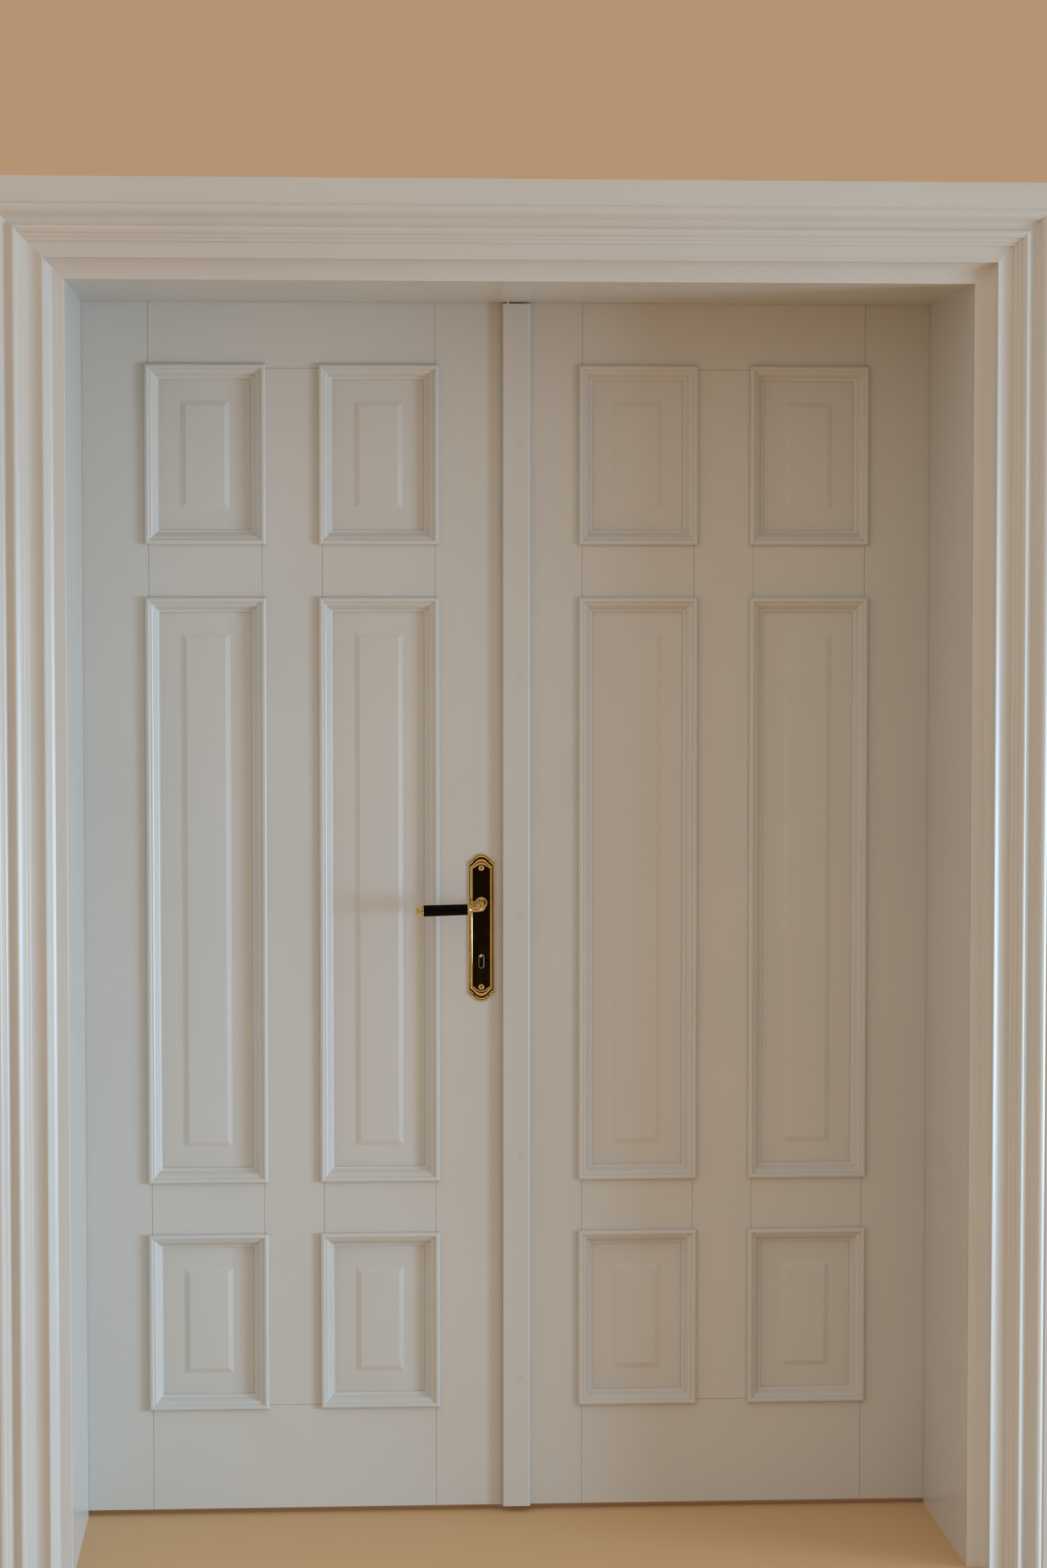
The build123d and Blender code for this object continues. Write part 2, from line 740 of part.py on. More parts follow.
def hinge_half(side, height, face, away, knuckle):
    """Adds one half of a hinge: a plate let in behind a face, and its knuckle."""
    plate_span = across(side, face, face + away * hinge_plate)
    block(plate_span, (hinge_plate_inset, leaf_thickness), hinge_levels(height))
    block(plate_span, (leaf_thickness, hinge_axis_y - pin_radius), knuckle)
    axis_start = (side * hinge_axis_x, hinge_axis_y, knuckle[0])
    bar(axis_start, (0, 0, 1), knuckle_radius, knuckle[1] - knuckle[0])
    bar(axis_start, (0, 0, 1), pin_radius + pin_fit, knuckle[1] - knuckle[0], Mode.SUBTRACT)


with BuildPart() as frame_halves:
    for side in (LEFT, RIGHT):
        for height in hinge_heights:
            knuckle = (hinge_levels(height)[0], height - knuckle_split / 2)
            hinge_half(side, height, rebate_side, 1, knuckle)
        for point in hinge_screw_points(side * rebate_side):
            screw_hole(point, (side, 0, 0), screw_length)
save(frame_halves, "hinge_halves_frame")

with BuildPart() as hinge_pins:
    for side in (LEFT, RIGHT):
        for height in hinge_heights:
            low, high = hinge_levels(height)
            bar((side * hinge_axis_x, hinge_axis_y, low - finial_radius), (0, 0, 1),
                pin_radius, high - low + 2 * finial_radius)
            for level in (low - finial_radius - slide_fit, high + finial_radius + slide_fit):
                with Locations((side * hinge_axis_x, hinge_axis_y, level)):
                    Sphere(finial_radius)
save(hinge_pins, "hinge_pins")

with BuildPart() as frame_screws:
    for side in (LEFT, RIGHT):
        for point in hinge_screw_points(side * rebate_side):
            wood_screw(point, (side, 0, 0), screw_length)
    for point in keep_screw_points():
        wood_screw(point, (0, 0, 1), screw_length)
save(frame_screws, "frame_screws")

for side, name in ((LEFT, "left"), (RIGHT, "right")):
    with BuildPart() as leaf_halves:
        for height in hinge_heights:
            knuckle = (height + knuckle_split / 2, hinge_levels(height)[1])
            hinge_half(side, height, leaf_edge, -1, knuckle)
        for point in hinge_screw_points(side * leaf_edge):
            screw_hole(point, (-side, 0, 0), screw_length)
    save(leaf_halves, "hinge_halves_" + name)

    with BuildPart() as leaf_screws:
        for point in hinge_screw_points(side * leaf_edge):
            wood_screw(point, (-side, 0, 0), screw_length)
        for level in faceplate_screw_levels():
            wood_screw((side * leaf_meeting, leaf_mid, level), (side, 0, 0), screw_length)
        if side == RIGHT:
            for bolt_name, end, inward in flush_bolts:
                for level in flush_screw_levels(flush_levels(end, inward)[-1]):
                    wood_screw((leaf_meeting, leaf_mid, level), (side, 0, 0), short_screw_length)
    save(leaf_screws, "edge_screws_" + name)


# Mortise lock in the active leaf

with BuildPart() as lock_case:
    block(across(LEFT, edge_plate_back, case_back), case_faces, case_levels)
    block(across(LEFT, edge_plate_back + case_wall, case_back - case_wall),
          about(leaf_mid, case_thickness - 2 * case_wall),
          (case_levels[0] + case_wall, case_levels[1] - case_wall), Mode.SUBTRACT)
    bar((lock_x, case_faces[0], spindle_height), (0, 1, 0), journal_radius + journal_fit,
        case_thickness, Mode.SUBTRACT)
    key_slot(case_faces[0], case_thickness)
    bolt_openings(LEFT, edge_plate_back, edge_plate_back + case_wall, slide_fit, slide_fit)
save(lock_case, "lock_case")

with BuildPart() as faceplate:
    block(*edge_plate(LEFT))
    bolt_openings(LEFT, leaf_meeting, edge_plate_back, slide_fit, slide_fit)
    for level in faceplate_screw_levels():
        screw_hole((-leaf_meeting, leaf_mid, level), (LEFT, 0, 0), screw_length)
save(faceplate, "lock_faceplate")

latch_tip = latch_throw - leaf_meeting
latch_root = latch_tip - latch_length - latch_throw
lug_far = lock_x - arm_width / 2 - lug_gap - lug_length

with BuildPart() as latch:
    near, far = about(leaf_mid, latch_width)
    with BuildSketch(Plane.XY.offset(latch_level - latch_height / 2)) as head_shape:
        Polygon((latch_root, near), (latch_tip - latch_bevel, near), (latch_tip, far - latch_nose),
                (latch_tip, far), (latch_root, far), align=None)
    extrude(head_shape.sketch, amount=latch_height)
    block((lug_far - lug_length, latch_root), about(leaf_mid, tail_width),
          about(latch_level, tail_height))
    block((lug_far, lug_far + lug_length), about(leaf_mid, tail_width),
          (spindle_height + lug_drop, latch_level))
save(latch, "latch_bolt")

with BuildPart() as dead_bolt:
    bolt_tip = -leaf_meeting - slide_fit
    block((bolt_tip - bolt_length, bolt_tip), about(leaf_mid, bolt_width),
          about(bolt_level, bolt_height))
    block((bolt_tip - bolt_length - bolt_tail_length, bolt_tip - bolt_length),
          about(leaf_mid, tail_width), about(bolt_level, bolt_height / 2))
save(dead_bolt, "dead_bolt")

with BuildPart() as follower:
    bar((lock_x, leaf_mid - hub_thickness / 2, spindle_height), (0, 1, 0), hub_radius,
        hub_thickness)
    bar((lock_x, case_faces[0], spindle_height), (0, 1, 0), journal_radius, case_thickness)
    block(about(lock_x, arm_width), about(leaf_mid, tail_width),
          (spindle_height + hub_radius / 2, spindle_height + arm_reach))
    block(about(lock_x, spindle_side + 2 * spindle_fit), case_faces,
          about(spindle_height, spindle_side + 2 * spindle_fit), Mode.SUBTRACT)
save(follower, "lock_follower")

spindle_half = leaf_mid + socket_end - spindle_end_gap

with BuildPart() as spindle:
    block(about(lock_x, spindle_side), about(leaf_mid, 2 * spindle_half),
          about(spindle_height, spindle_side))
save(spindle, "lever_spindle")


# Lock plates, one on each face of the active leaf

def plate_outline(plane, inset):
    """The lock plate's outline, with an arch at each end, stepped in by an inset."""
    half = plate_width / 2 - inset
    shoulder = plate_shoulder_height / 2 - 0.5 * inset
    top = plate_shoulder_height / 2 + plate_arch - inset
    arch = top - shoulder
    curve = ((1.0, 0.0), (0.76, 0.27), (0.51, 0.65), (0.25, 0.93), (0.0, 1.0))
    with BuildSketch(plane) as outline:
        with BuildLine():
            for turn in (1, -1):
                rise = [(-half * u, turn * (shoulder + arch * v)) for u, v in curve]
                Spline(*rise, *((-x, y) for x, y in rise[-2::-1]))
            Line((-half, -shoulder), (-half, shoulder))
            Line((half, -shoulder), (half, shoulder))
        make_face()
    return outline.sketch


plate_plane = Plane(origin=(lock_x, 0, plate_center), x_dir=(1, 0, 0), z_dir=(0, -1, 0))
field_plane = plate_plane.offset(plate_base)

with BuildPart() as lock_plates:
    extrude(plate_outline(plate_plane, 0), amount=plate_base + plate_rim_rise)
    chamfer(lock_plates.faces().sort_by(Axis.Y)[0].edges(), length=plate_edge_chamfer)
    extrude(plate_outline(field_plane, plate_rim), amount=plate_rim_rise, mode=Mode.SUBTRACT)
    extrude(plate_outline(field_plane, plate_rim + plate_groove), amount=plate_band_rise)
    chamfer(lock_plates.faces().sort_by(Axis.Y)[0].edges(), length=plate_edge_chamfer)
    extrude(plate_outline(field_plane, plate_rim + plate_groove + plate_band),
            amount=plate_band_rise, mode=Mode.SUBTRACT)
    bar((lock_x, 0, spindle_height), (0, -1, 0), lever_journal_radius + running_gap,
        plate_base, Mode.SUBTRACT)
    key_slot(-plate_base, plate_base)
    for level in plate_screw_levels():
        screw_hole((lock_x, -plate_base, level), (0, 1, 0), plate_screw_length)
    mirror(about=Plane.XZ.offset(-leaf_mid))
save(lock_plates, "lock_plates")

with BuildPart() as plate_screws:
    for level in plate_screw_levels():
        turned((lock_x, -plate_base, level), (0, 1, 0),
               ((-dome_rise, 0.3 * dome_radius), (-0.75 * dome_rise, 0.7 * dome_radius),
                (-0.3 * dome_rise, 0.95 * dome_radius), (-0.02, dome_radius),
                (-0.02, screw_head_radius), (screw_head_height, screw_shank_radius),
                (plate_screw_length, screw_shank_radius)))
        bar((lock_x, -plate_base - dome_rise, level), (0, 1, 0), drive_radius, drive_depth,
            Mode.SUBTRACT)
    mirror(about=Plane.XZ.offset(-leaf_mid))
save(plate_screws, "lock_plate_screws")


# Lever handles, one on each face of the active leaf, on one spindle

lever_way = (-cos(radians(lever_slope)), 0, -sin(radians(lever_slope)))


def lever_point(distance):
    """The point of the near lever's axis at a distance from its elbow."""
    return (lock_x + distance * lever_way[0], -lever_standoff,
            spindle_height - lever_drop + distance * lever_way[2])


grip_start = neck_reach + ferrule_length
cap_start = grip_start + grip_length

with BuildPart() as lever_necks:
    bar((lock_x, -slide_fit, spindle_height), (0, -1, 0), lever_journal_radius, boss_start)
    ring_start = boss_start
    for radius, length in boss_rings:
        bar((lock_x, -ring_start, spindle_height), (0, -1, 0), radius, length)
        ring_start += length
    with BuildLine() as neck_route:
        FilletPolyline((lock_x, -socket_end, spindle_height), lever_point(0),
                       lever_point(neck_reach), radius=neck_bend)
    with BuildSketch(Plane(origin=neck_route.wire() @ 0, z_dir=neck_route.wire() % 0)) as neck_ring:
        Circle(neck_radius)
    sweep(sections=neck_ring.sketch, path=neck_route.wire())
    turned(lever_point(neck_reach), lever_way,
           ((0, neck_radius + 0.6), (1, neck_radius + 0.8), (ferrule_length - 1.6, grip_radius - 1),
            (ferrule_length - 1.2, grip_radius + ferrule_rim),
            (ferrule_length, grip_radius + ferrule_rim)))
    bar(lever_point(grip_start), lever_way, tang_radius, grip_length + tang_end)
    block(about(lock_x, spindle_side + 2 * spindle_fit), (-slide_fit, -socket_end),
          about(spindle_height, spindle_side + 2 * spindle_fit), Mode.SUBTRACT)
    mirror(about=Plane.XZ.offset(-leaf_mid))
save(lever_necks, "lever_necks")

with BuildPart() as grips:
    slim = grip_radius - grip_taper
    turned(lever_point(grip_start), lever_way,
           ((0, slim - grip_round), (grip_round, slim),
            (grip_length - grip_round, grip_radius), (grip_length, grip_radius - grip_round)))
    bar(lever_point(grip_start), lever_way, tang_radius + spindle_fit, grip_length, Mode.SUBTRACT)
    mirror(about=Plane.XZ.offset(-leaf_mid))
save(grips, "lever_grips")

with BuildPart() as caps:
    turned(lever_point(cap_start), lever_way,
           ((0, cap_radius), (0.16 * cap_length, cap_radius), (0.22 * cap_length, 0.9 * cap_radius),
            (0.33 * cap_length, 0.6 * cap_radius), (0.46 * cap_length, cap_neck_radius),
            (0.56 * cap_length, 1.05 * cap_neck_radius), (0.64 * cap_length, 0.93 * cap_button_radius),
            (0.76 * cap_length, cap_button_radius), (0.89 * cap_length, 0.93 * cap_button_radius),
            (0.97 * cap_length, 0.7 * cap_button_radius), (cap_length, 0.35 * cap_button_radius)))
    bar(lever_point(cap_start), lever_way, tang_radius + spindle_fit, tang_end + spindle_end_gap,
        Mode.SUBTRACT)
    mirror(about=Plane.XZ.offset(-leaf_mid))
save(caps, "lever_end_caps")


# Passive leaf: astragal, strike plate and flush bolts

with BuildPart() as astragal:
    left_edge = -astragal_overlap
    right_edge = left_edge + astragal_width
    with BuildSketch(Plane.XY.offset(leaf_bottom)) as section:
        with BuildLine():
            Polyline((right_edge, astragal_round - astragal_thickness), (right_edge, 0),
                     (leaf_meeting, 0), (leaf_meeting, -astragal_relief_inner),
                     (left_edge, -astragal_relief_outer),
                     (left_edge, astragal_arris - astragal_thickness),
                     (left_edge + astragal_arris, -astragal_thickness),
                     (right_edge - astragal_round, -astragal_thickness))
            RadiusArc((right_edge - astragal_round, -astragal_thickness),
                      (right_edge, astragal_round - astragal_thickness), -astragal_round)
        make_face()
    extrude(section.sketch, amount=clear_height - astragal_head_gap - leaf_bottom)
    for level in astragal_screw_heights:
        screw_hole(astragal_screw_point(level), (0, 1, 0), astragal_screw_length)
save(astragal, "astragal")

with BuildPart() as astragal_screws:
    for level in astragal_screw_heights:
        wood_screw(astragal_screw_point(level), (0, 1, 0), astragal_screw_length)
save(astragal_screws, "astragal_screws")

with BuildPart() as strike_plate:
    block(*edge_plate(RIGHT))
    bolt_openings(RIGHT, leaf_meeting, edge_plate_back, strike_play, slide_fit)
    for level in faceplate_screw_levels():
        screw_hole((leaf_meeting, leaf_mid, level), (RIGHT, 0, 0), screw_length)
save(strike_plate, "strike_plate")

for name, end, inward in flush_bolts:
    tip, tail, lug, slot, plate = flush_levels(end, inward)
    with BuildPart() as flush_bolt:
        bar((flush_x, leaf_mid, tip), (0, 0, inward), flush_rod_radius, flush_rod_length)
        block((leaf_meeting + slide_fit, flush_x),
              about(leaf_mid, flush_slot_width - 2 * slide_fit), lug)
    save(flush_bolt, name)

with BuildPart() as flush_plates:
    for name, end, inward in flush_bolts:
        tip, tail, lug, slot, plate = flush_levels(end, inward)
        plate_span = (leaf_meeting, leaf_meeting + flush_plate_thickness)
        block(plate_span, about(leaf_mid, flush_plate_width), plate)
        block(plate_span, about(leaf_mid, flush_slot_width), slot, Mode.SUBTRACT)
        for level in flush_screw_levels(plate):
            screw_hole((leaf_meeting, leaf_mid, level), (RIGHT, 0, 0), short_screw_length)
save(flush_plates, "flush_bolt_plates")
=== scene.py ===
import math

import bmesh
import bpy
from mathutils import Matrix, Vector


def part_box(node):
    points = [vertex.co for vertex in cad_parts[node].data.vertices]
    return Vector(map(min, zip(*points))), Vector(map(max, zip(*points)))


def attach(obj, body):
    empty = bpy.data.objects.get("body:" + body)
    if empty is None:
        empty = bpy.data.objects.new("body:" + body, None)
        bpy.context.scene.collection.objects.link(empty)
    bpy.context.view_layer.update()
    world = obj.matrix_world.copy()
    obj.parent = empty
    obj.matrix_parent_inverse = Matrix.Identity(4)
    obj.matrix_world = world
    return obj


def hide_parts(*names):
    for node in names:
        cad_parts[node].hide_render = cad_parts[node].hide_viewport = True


bl_info = {
    "name": "Double Door in a Moulded Frame",
    "version": (1, 0, 0),
    "blender": (4, 5, 0),
    "location": "3D View > Sidebar > Door",
    "description": "Dresses a panelled double door and its frame in paint, brass and light",
    "category": "Object",
}

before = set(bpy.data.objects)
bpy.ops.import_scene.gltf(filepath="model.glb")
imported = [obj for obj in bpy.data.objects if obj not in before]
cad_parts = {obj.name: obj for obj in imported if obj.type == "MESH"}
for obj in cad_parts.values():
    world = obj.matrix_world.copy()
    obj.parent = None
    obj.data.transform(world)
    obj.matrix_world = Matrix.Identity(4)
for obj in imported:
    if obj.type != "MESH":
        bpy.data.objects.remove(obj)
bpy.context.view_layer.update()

LEAF_BODIES = {"left": "active_leaf", "right": "passive_leaf"}
LEAF_NEAR, LEAF_FAR = (corner[1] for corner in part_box("left_hinge_stile"))
LEAF_MID = (LEAF_NEAR + LEAF_FAR) / 2

RIGHT, UP, NEARER, FARTHER = (1, 0, 0), (0, 0, 1), (0, -1, 0), (0, 1, 0)
SMOOTH_BELOW = math.radians(32)

# Sections, outlines and the numbers that go with them are in millimetres, and the stage and the
# sizes that a user would change are in metres. Vertices within a seam of each other are joined,
# and a half circle bows a hair less than its radius.
MM = 0.001
SEAM = 0.001
HAIR = 0.01

# Sections and turned outlines; a third number bows the run to that point

CASING_SECTION = (
    (0, 0), (0, 11), (1, 12), (18, 12.8), (31, 36, -3.8), (31, 37), (33, 37), (56, 34.5, -2.8),
    (56, 37.8), (61.5, 39.6), (61.5, 41.8), (67.5, 44), (67.5, 46.4), (73.5, 50.5),
    (79.5, 46.5, 1.45), (83, 44.5), (86, 44.5), (94.5, 51.5, -1.2), (94.5, 53.1), (96, 53.5),
    (104, 59, 1.27), (106, 59), (110, 56.4), (112, 56.4), (112, 58), (151, 58), (151, 0))

PANEL_MOULDING_SECTION = (
    (-6, 0), (-6, 3.15), (2.5, 6.3, 4.35), (2.5, 4.5), (3.5, 4.8), (10.5, -2.25, 0.9),
    (11.3, -2.7), (16.4, -8.8, -1.1), (18, -9.4), (18, -11.8), (0, -11.8), (0, 0))

# Contours of the lock plate from its edge to its field: half width, level of the hip, level of
# the crown (both from where the straight side of the edge ends), and height out of the leaf
LOCK_PLATE_CONTOURS = (
    (21.7, 0, 13.8, 0), (21.7, 0, 13.8, 2.6), (21.3, -0.8, 12.9, 3.15), (20.6, -2.4, 11.2, 3.4),
    (19.9, -4.6, 8.9, 3.1), (19.5, -5.6, 7.8, 2.3), (18.1, -7.7, 4.5, 2.3), (17.7, -8.4, 3.7, 3.2),
    (16.9, -9.3, 1.7, 3.95), (15.9, -10.2, -1.2, 4.1), (15, -11, -3.6, 3.6),
    (14.5, -11.4, -4.8, 2.2))
PLATE_STRAIGHT = 109.5  # from the plate's middle to where the straight side of its edge ends

# Where a shoulder of the plate meets its crown, as shares of the half width and of the rise from
# hip to crown, and how far the shoulder is hollowed, as a share of the half width
SHOULDER_REACH, SHOULDER_RISE, SHOULDER_HOLLOW = 0.575, 0.55, 0.02

# The plate's openings: a round one for the spindle, and a slot that runs down from the key, with
# a lip that slopes in and narrows the slot
SPINDLE_HOLE_RADIUS = 6.7
KEY_SLOT_RADIUS, KEY_SLOT_LENGTH = 4.5, 14.5
LIP_DROP, KEY_LIP_SHRINK = 0.5, (0.87, 0.95, 1)

# The lock's levers that show in the keyhole, drawn round the key's place; their steel is darkened
# as painted shade, for the shadow inside the lock
LEVER_STACK_OUTLINE = ((-12, -20), (-12, 12), (12, 12), (12, -20), (-12, -20))
LEVER_STACK_HOLE_RADIUS, LEVER_STACK_THICKNESS = 3, 9

BOSS_OUTLINE = (
    (-2, 0), (-2, 6.4), (2.5, 6.4), (2.5, 9.2), (5.7, 9.2, 0.6), (5.9, 8.5), (6.6, 8.5),
    (6.7, 8.7), (9.5, 8.7, 0.5), (9.7, 7.6), (10.4, 7.6), (10.5, 7.7), (13.1, 7.7, 0.5),
    (13.3, 6.2), (14, 6.1), (17, 5.4, 0.7), (17, 0))

# The neck's rod runs from inside the boss, so far out of the leaf, to inside the ferrule, so far
# along the lever
NECK_START, NECK_END = 16, 17.1

FERRULE_OUTLINE = (
    (16.6, 0), (16.6, 4.5), (17, 5), (23.4, 8.2, -0.3), (23.8, 9), (24.6, 9.55, 0.12),
    (25.4, 9.5), (25.4, 0))

GRIP_OUTLINE = ((25.4, 0), (25.4, 8.4), (26.2, 9.1, 0.2), (96.6, 9.4), (97.4, 8.6, 0.2), (97.4, 0))

CAP_OUTLINE = (
    (97.4, 0), (97.4, 8.7), (98, 9.1, 0.1), (99.8, 9.1), (100.1, 8.7), (100.5, 8.7), (100.8, 9.05),
    (102.4, 8.9, 0.1), (103.4, 7.9, 0.25), (105.4, 5, -0.5), (106.1, 4.6, -0.1), (106.6, 5),
    (108.9, 6.3, 0.4), (111.1, 4.6, 0.55), (111.9, 2.2, 0.15), (111.9, 0))

FILLED_SCREW_OUTLINE = (
    (-14, 0), (-14, 1.9), (-0.2, 1.9), (-0.01, 3.7), (0.04, 3.4), (0.07, 2.2), (-0.1, 0.7, 0.03),
    (-0.13, 0))

PLATE_SCREW_RADIUS = 4.7
PLATE_SCREW_OUTLINE = (
    (3, 0), (3, 1.1), (3.85, 1.5), (2.25, PLATE_SCREW_RADIUS, -0.45), (2, PLATE_SCREW_RADIUS),
    (2, 1.9), (-18.8, 1.9), (-18.8, 0))

# The stage: half the floor's width, the dark card that paints a dark reflection into gloss and
# polished metal, as painted shade for a dark room behind the camera, and the card that glows as a
# painted reflection of the bright window, though it is no lamp, which stands just before the
# window's lamp and is a little larger
FLOOR_REACH = 14
DARK_CARD_PLACE, DARK_CARD_AIM, DARK_CARD_SIZE = (0.26, -6.3, 0.76), (0.26, 0, 0.76), (3.8, 2.6)
WINDOW_CARD_LEAD, WINDOW_CARD_MARGIN = 0.05, 0.1


# Sizes and colours that a user would change

class DoorSizes(bpy.types.PropertyGroup):
    """Sizes of the pieces that are modelled here"""

    casing_arris: bpy.props.FloatProperty(
        name="Casing arris", description="How far the casings' edges are rounded",
        default=0.0006, min=0, max=0.003, precision=4, unit="LENGTH")
    moulding_arris: bpy.props.FloatProperty(
        name="Moulding arris", description="How far the panel mouldings' edges are rounded",
        default=0.0004, min=0, max=0.002, precision=4, unit="LENGTH")
    panel_thickness: bpy.props.FloatProperty(
        name="Panel thickness", description="Thickness of a panel round its field",
        default=0.020, min=0.010, max=0.030, precision=4, unit="LENGTH")
    panel_edge: bpy.props.FloatProperty(
        name="Panel edge", description="How far a panel reaches into the grooves",
        default=0.010, min=0.004, max=0.015, precision=4, unit="LENGTH")
    panel_edge_thickness: bpy.props.FloatProperty(
        name="Panel edge thickness", description="Thickness of a panel's edge in the grooves",
        default=0.0114, min=0.006, max=0.012, precision=4, unit="LENGTH")
    panel_play: bpy.props.FloatProperty(
        name="Panel play", description="Gap between a panel's thick part and its opening",
        default=0.0005, min=0, max=0.002, precision=4, unit="LENGTH")
    field_margin: bpy.props.FloatProperty(
        name="Field margin", description="Flat of a panel between its opening and its field",
        default=0.053, min=0.030, max=0.080, precision=4, unit="LENGTH")
    field_bevel: bpy.props.FloatProperty(
        name="Field bevel", description="Width of the slope round a raised field",
        default=0.0086, min=0.002, max=0.030, precision=4, unit="LENGTH")
    field_rise: bpy.props.FloatProperty(
        name="Field rise", description="How far a field stands over its panel",
        default=0.0045, min=0.001, max=0.008, precision=4, unit="LENGTH")
    field_arris: bpy.props.FloatProperty(
        name="Field arris", description="How far the edges of a field are softened",
        default=0.0010, min=0, max=0.004, precision=4, unit="LENGTH")
    astragal_screws: bpy.props.FloatVectorProperty(
        name="Astragal screws", description="Levels of the filled screws in the astragal",
        default=(0.225, 0.600, 1.000, 1.400, 1.780), size=5, unit="LENGTH")
    key_drop: bpy.props.FloatProperty(
        name="Keyhole drop", description="Distance from the lever's spindle down to the key",
        default=0.090, min=0.050, max=0.120, unit="LENGTH")
    lever_standoff: bpy.props.FloatProperty(
        name="Lever stand-off", description="Distance from the leaf to the lever's middle",
        default=0.055, min=0.040, max=0.060, unit="LENGTH")
    lever_drop: bpy.props.FloatProperty(
        name="Lever drop", description="How far the lever's elbow lies below its spindle",
        default=0.0056, min=0, max=0.010, precision=4, unit="LENGTH")
    lever_slope: bpy.props.FloatProperty(
        name="Lever slope", description="How far the lever slopes down to its end",
        default=math.radians(1.5), min=0, max=math.radians(10), subtype="ANGLE", unit="ROTATION")
    neck_radius: bpy.props.FloatProperty(
        name="Neck radius", description="Radius of the bent neck's rod",
        default=0.0043, min=0.003, max=0.006, precision=4, unit="LENGTH")
    neck_bend: bpy.props.FloatProperty(
        name="Neck bend", description="Radius of the neck's bend",
        default=0.009, min=0.006, max=0.015, precision=4, unit="LENGTH")


class DoorFinishes(bpy.types.PropertyGroup):
    """Colours and gloss of the painted wood and the metalwork"""

    paint: bpy.props.FloatVectorProperty(
        name="Paint", description="Colour of the satin paint on all the joinery",
        default=(0.70, 0.685, 0.645), size=3, min=0, max=1, subtype="COLOR")
    paint_roughness: bpy.props.FloatProperty(
        name="Paint roughness", description="How matt the satin paint is",
        default=0.3, min=0, max=1, subtype="FACTOR")
    brush_marks: bpy.props.FloatProperty(
        name="Brush marks", description="Height of the fine brush marks left in the paint",
        default=0.000015, min=0, max=0.001, precision=5, unit="LENGTH")
    brass: bpy.props.FloatVectorProperty(
        name="Brass", description="Colour of the polished brass of the lock plates and levers",
        default=(0.86, 0.74, 0.43), size=3, min=0, max=1, subtype="COLOR")
    grip: bpy.props.FloatVectorProperty(
        name="Grip", description="Colour of the black lever grips",
        default=(0.002, 0.002, 0.0022), size=3, min=0, max=1, subtype="COLOR")
    steel: bpy.props.FloatVectorProperty(
        name="Steel", description="Colour of the lock's and hinges' bare steel",
        default=(0.46, 0.45, 0.43), size=3, min=0, max=1, subtype="COLOR")
    # Painted shade: the steel seen in a keyhole keeps only this share of its colour, for the
    # shadow inside the lock
    keyhole_painted_shade: bpy.props.FloatProperty(
        name="Lock shade", description="How much of the steel's colour is left behind a keyhole",
        default=0.12, min=0, max=1, subtype="FACTOR")


class DoorStage(bpy.types.PropertyGroup):
    """Floor, light and camera around the door"""

    floor: bpy.props.FloatVectorProperty(
        name="Floor", description="Colour of the plain pale floor",
        default=(0.80, 0.51, 0.25), size=3, min=0, max=1, subtype="COLOR")
    background: bpy.props.FloatVectorProperty(
        name="Background", description="Plain pale colour seen behind the door",
        default=(0.46, 0.295, 0.172), size=3, min=0, max=1, subtype="COLOR")
    room_light: bpy.props.FloatVectorProperty(
        name="Room light", description="Colour of the even light from all round",
        default=(0.637, 0.59, 0.54), size=3, min=0, max=1, subtype="COLOR")
    window_place: bpy.props.FloatVectorProperty(
        name="Window place", description="Where the window's light comes from",
        default=(4.1, -2.1, 0.7), size=3, subtype="TRANSLATION", unit="LENGTH")
    window_aim: bpy.props.FloatVectorProperty(
        name="Window aim", description="Where the window's light falls straight on",
        default=(-0.9, 0.1, 0.25), size=3, subtype="TRANSLATION", unit="LENGTH")
    window_size: bpy.props.FloatVectorProperty(
        name="Window size", description="Width and height of the window's light",
        default=(1.6, 1.3), size=2, min=0.1, max=5, unit="LENGTH")
    # Painted reflection: the glow of the window card that gloss and polished metal see, though it
    # is no lamp
    window_glow: bpy.props.FloatVectorProperty(
        name="Window glow", description="Colour of the window as polished metal mirrors it",
        default=(1.0, 0.97, 0.88), size=3, min=0, max=1, subtype="COLOR")
    window_glow_strength: bpy.props.FloatProperty(
        name="Window glow strength", description="How bright the window is in polished metal",
        default=2.4, min=0, max=10)
    # Painted shade: the dark card's colour, a dark reflection that gloss and polished metal see in
    # place of a dark room
    painted_dark_reflection: bpy.props.FloatVectorProperty(
        name="Dark room", description="Colour of the dark room as polished metal mirrors it",
        default=(0.012, 0.009, 0.006), size=3, min=0, max=1, subtype="COLOR")
    window_power: bpy.props.FloatProperty(
        name="Window power", description="Power of the cool light from the right",
        default=40, min=0, max=2000, subtype="POWER", unit="POWER")
    window_spread: bpy.props.FloatProperty(
        name="Window spread", description="How wide the window's light spreads",
        default=math.radians(95), min=math.radians(10), max=math.pi, subtype="ANGLE",
        unit="ROTATION")
    window_light: bpy.props.FloatVectorProperty(
        name="Window colour", description="Colour of the cool light from the right",
        default=(0.415, 0.72, 1.0), size=3, min=0, max=1, subtype="COLOR")
    camera_place: bpy.props.FloatVectorProperty(
        name="Camera place", description="Where the camera stands",
        default=(-0.3313, -5.6477, 1.5252), size=3, subtype="TRANSLATION", unit="LENGTH")
    camera_turn: bpy.props.FloatVectorProperty(
        name="Camera turn", description="How the camera is turned",
        default=(math.radians(86.972), 0.0, math.radians(-3.502)), size=3,
        subtype="EULER", unit="ROTATION")
    lens: bpy.props.FloatProperty(
        name="Lens", description="Focal length on a 36 mm upright frame",
        default=80.78, min=10, max=300, unit="CAMERA")


# Materials

NOISE_RANGE = (0.3, 0.7)  # a noise seldom leaves it


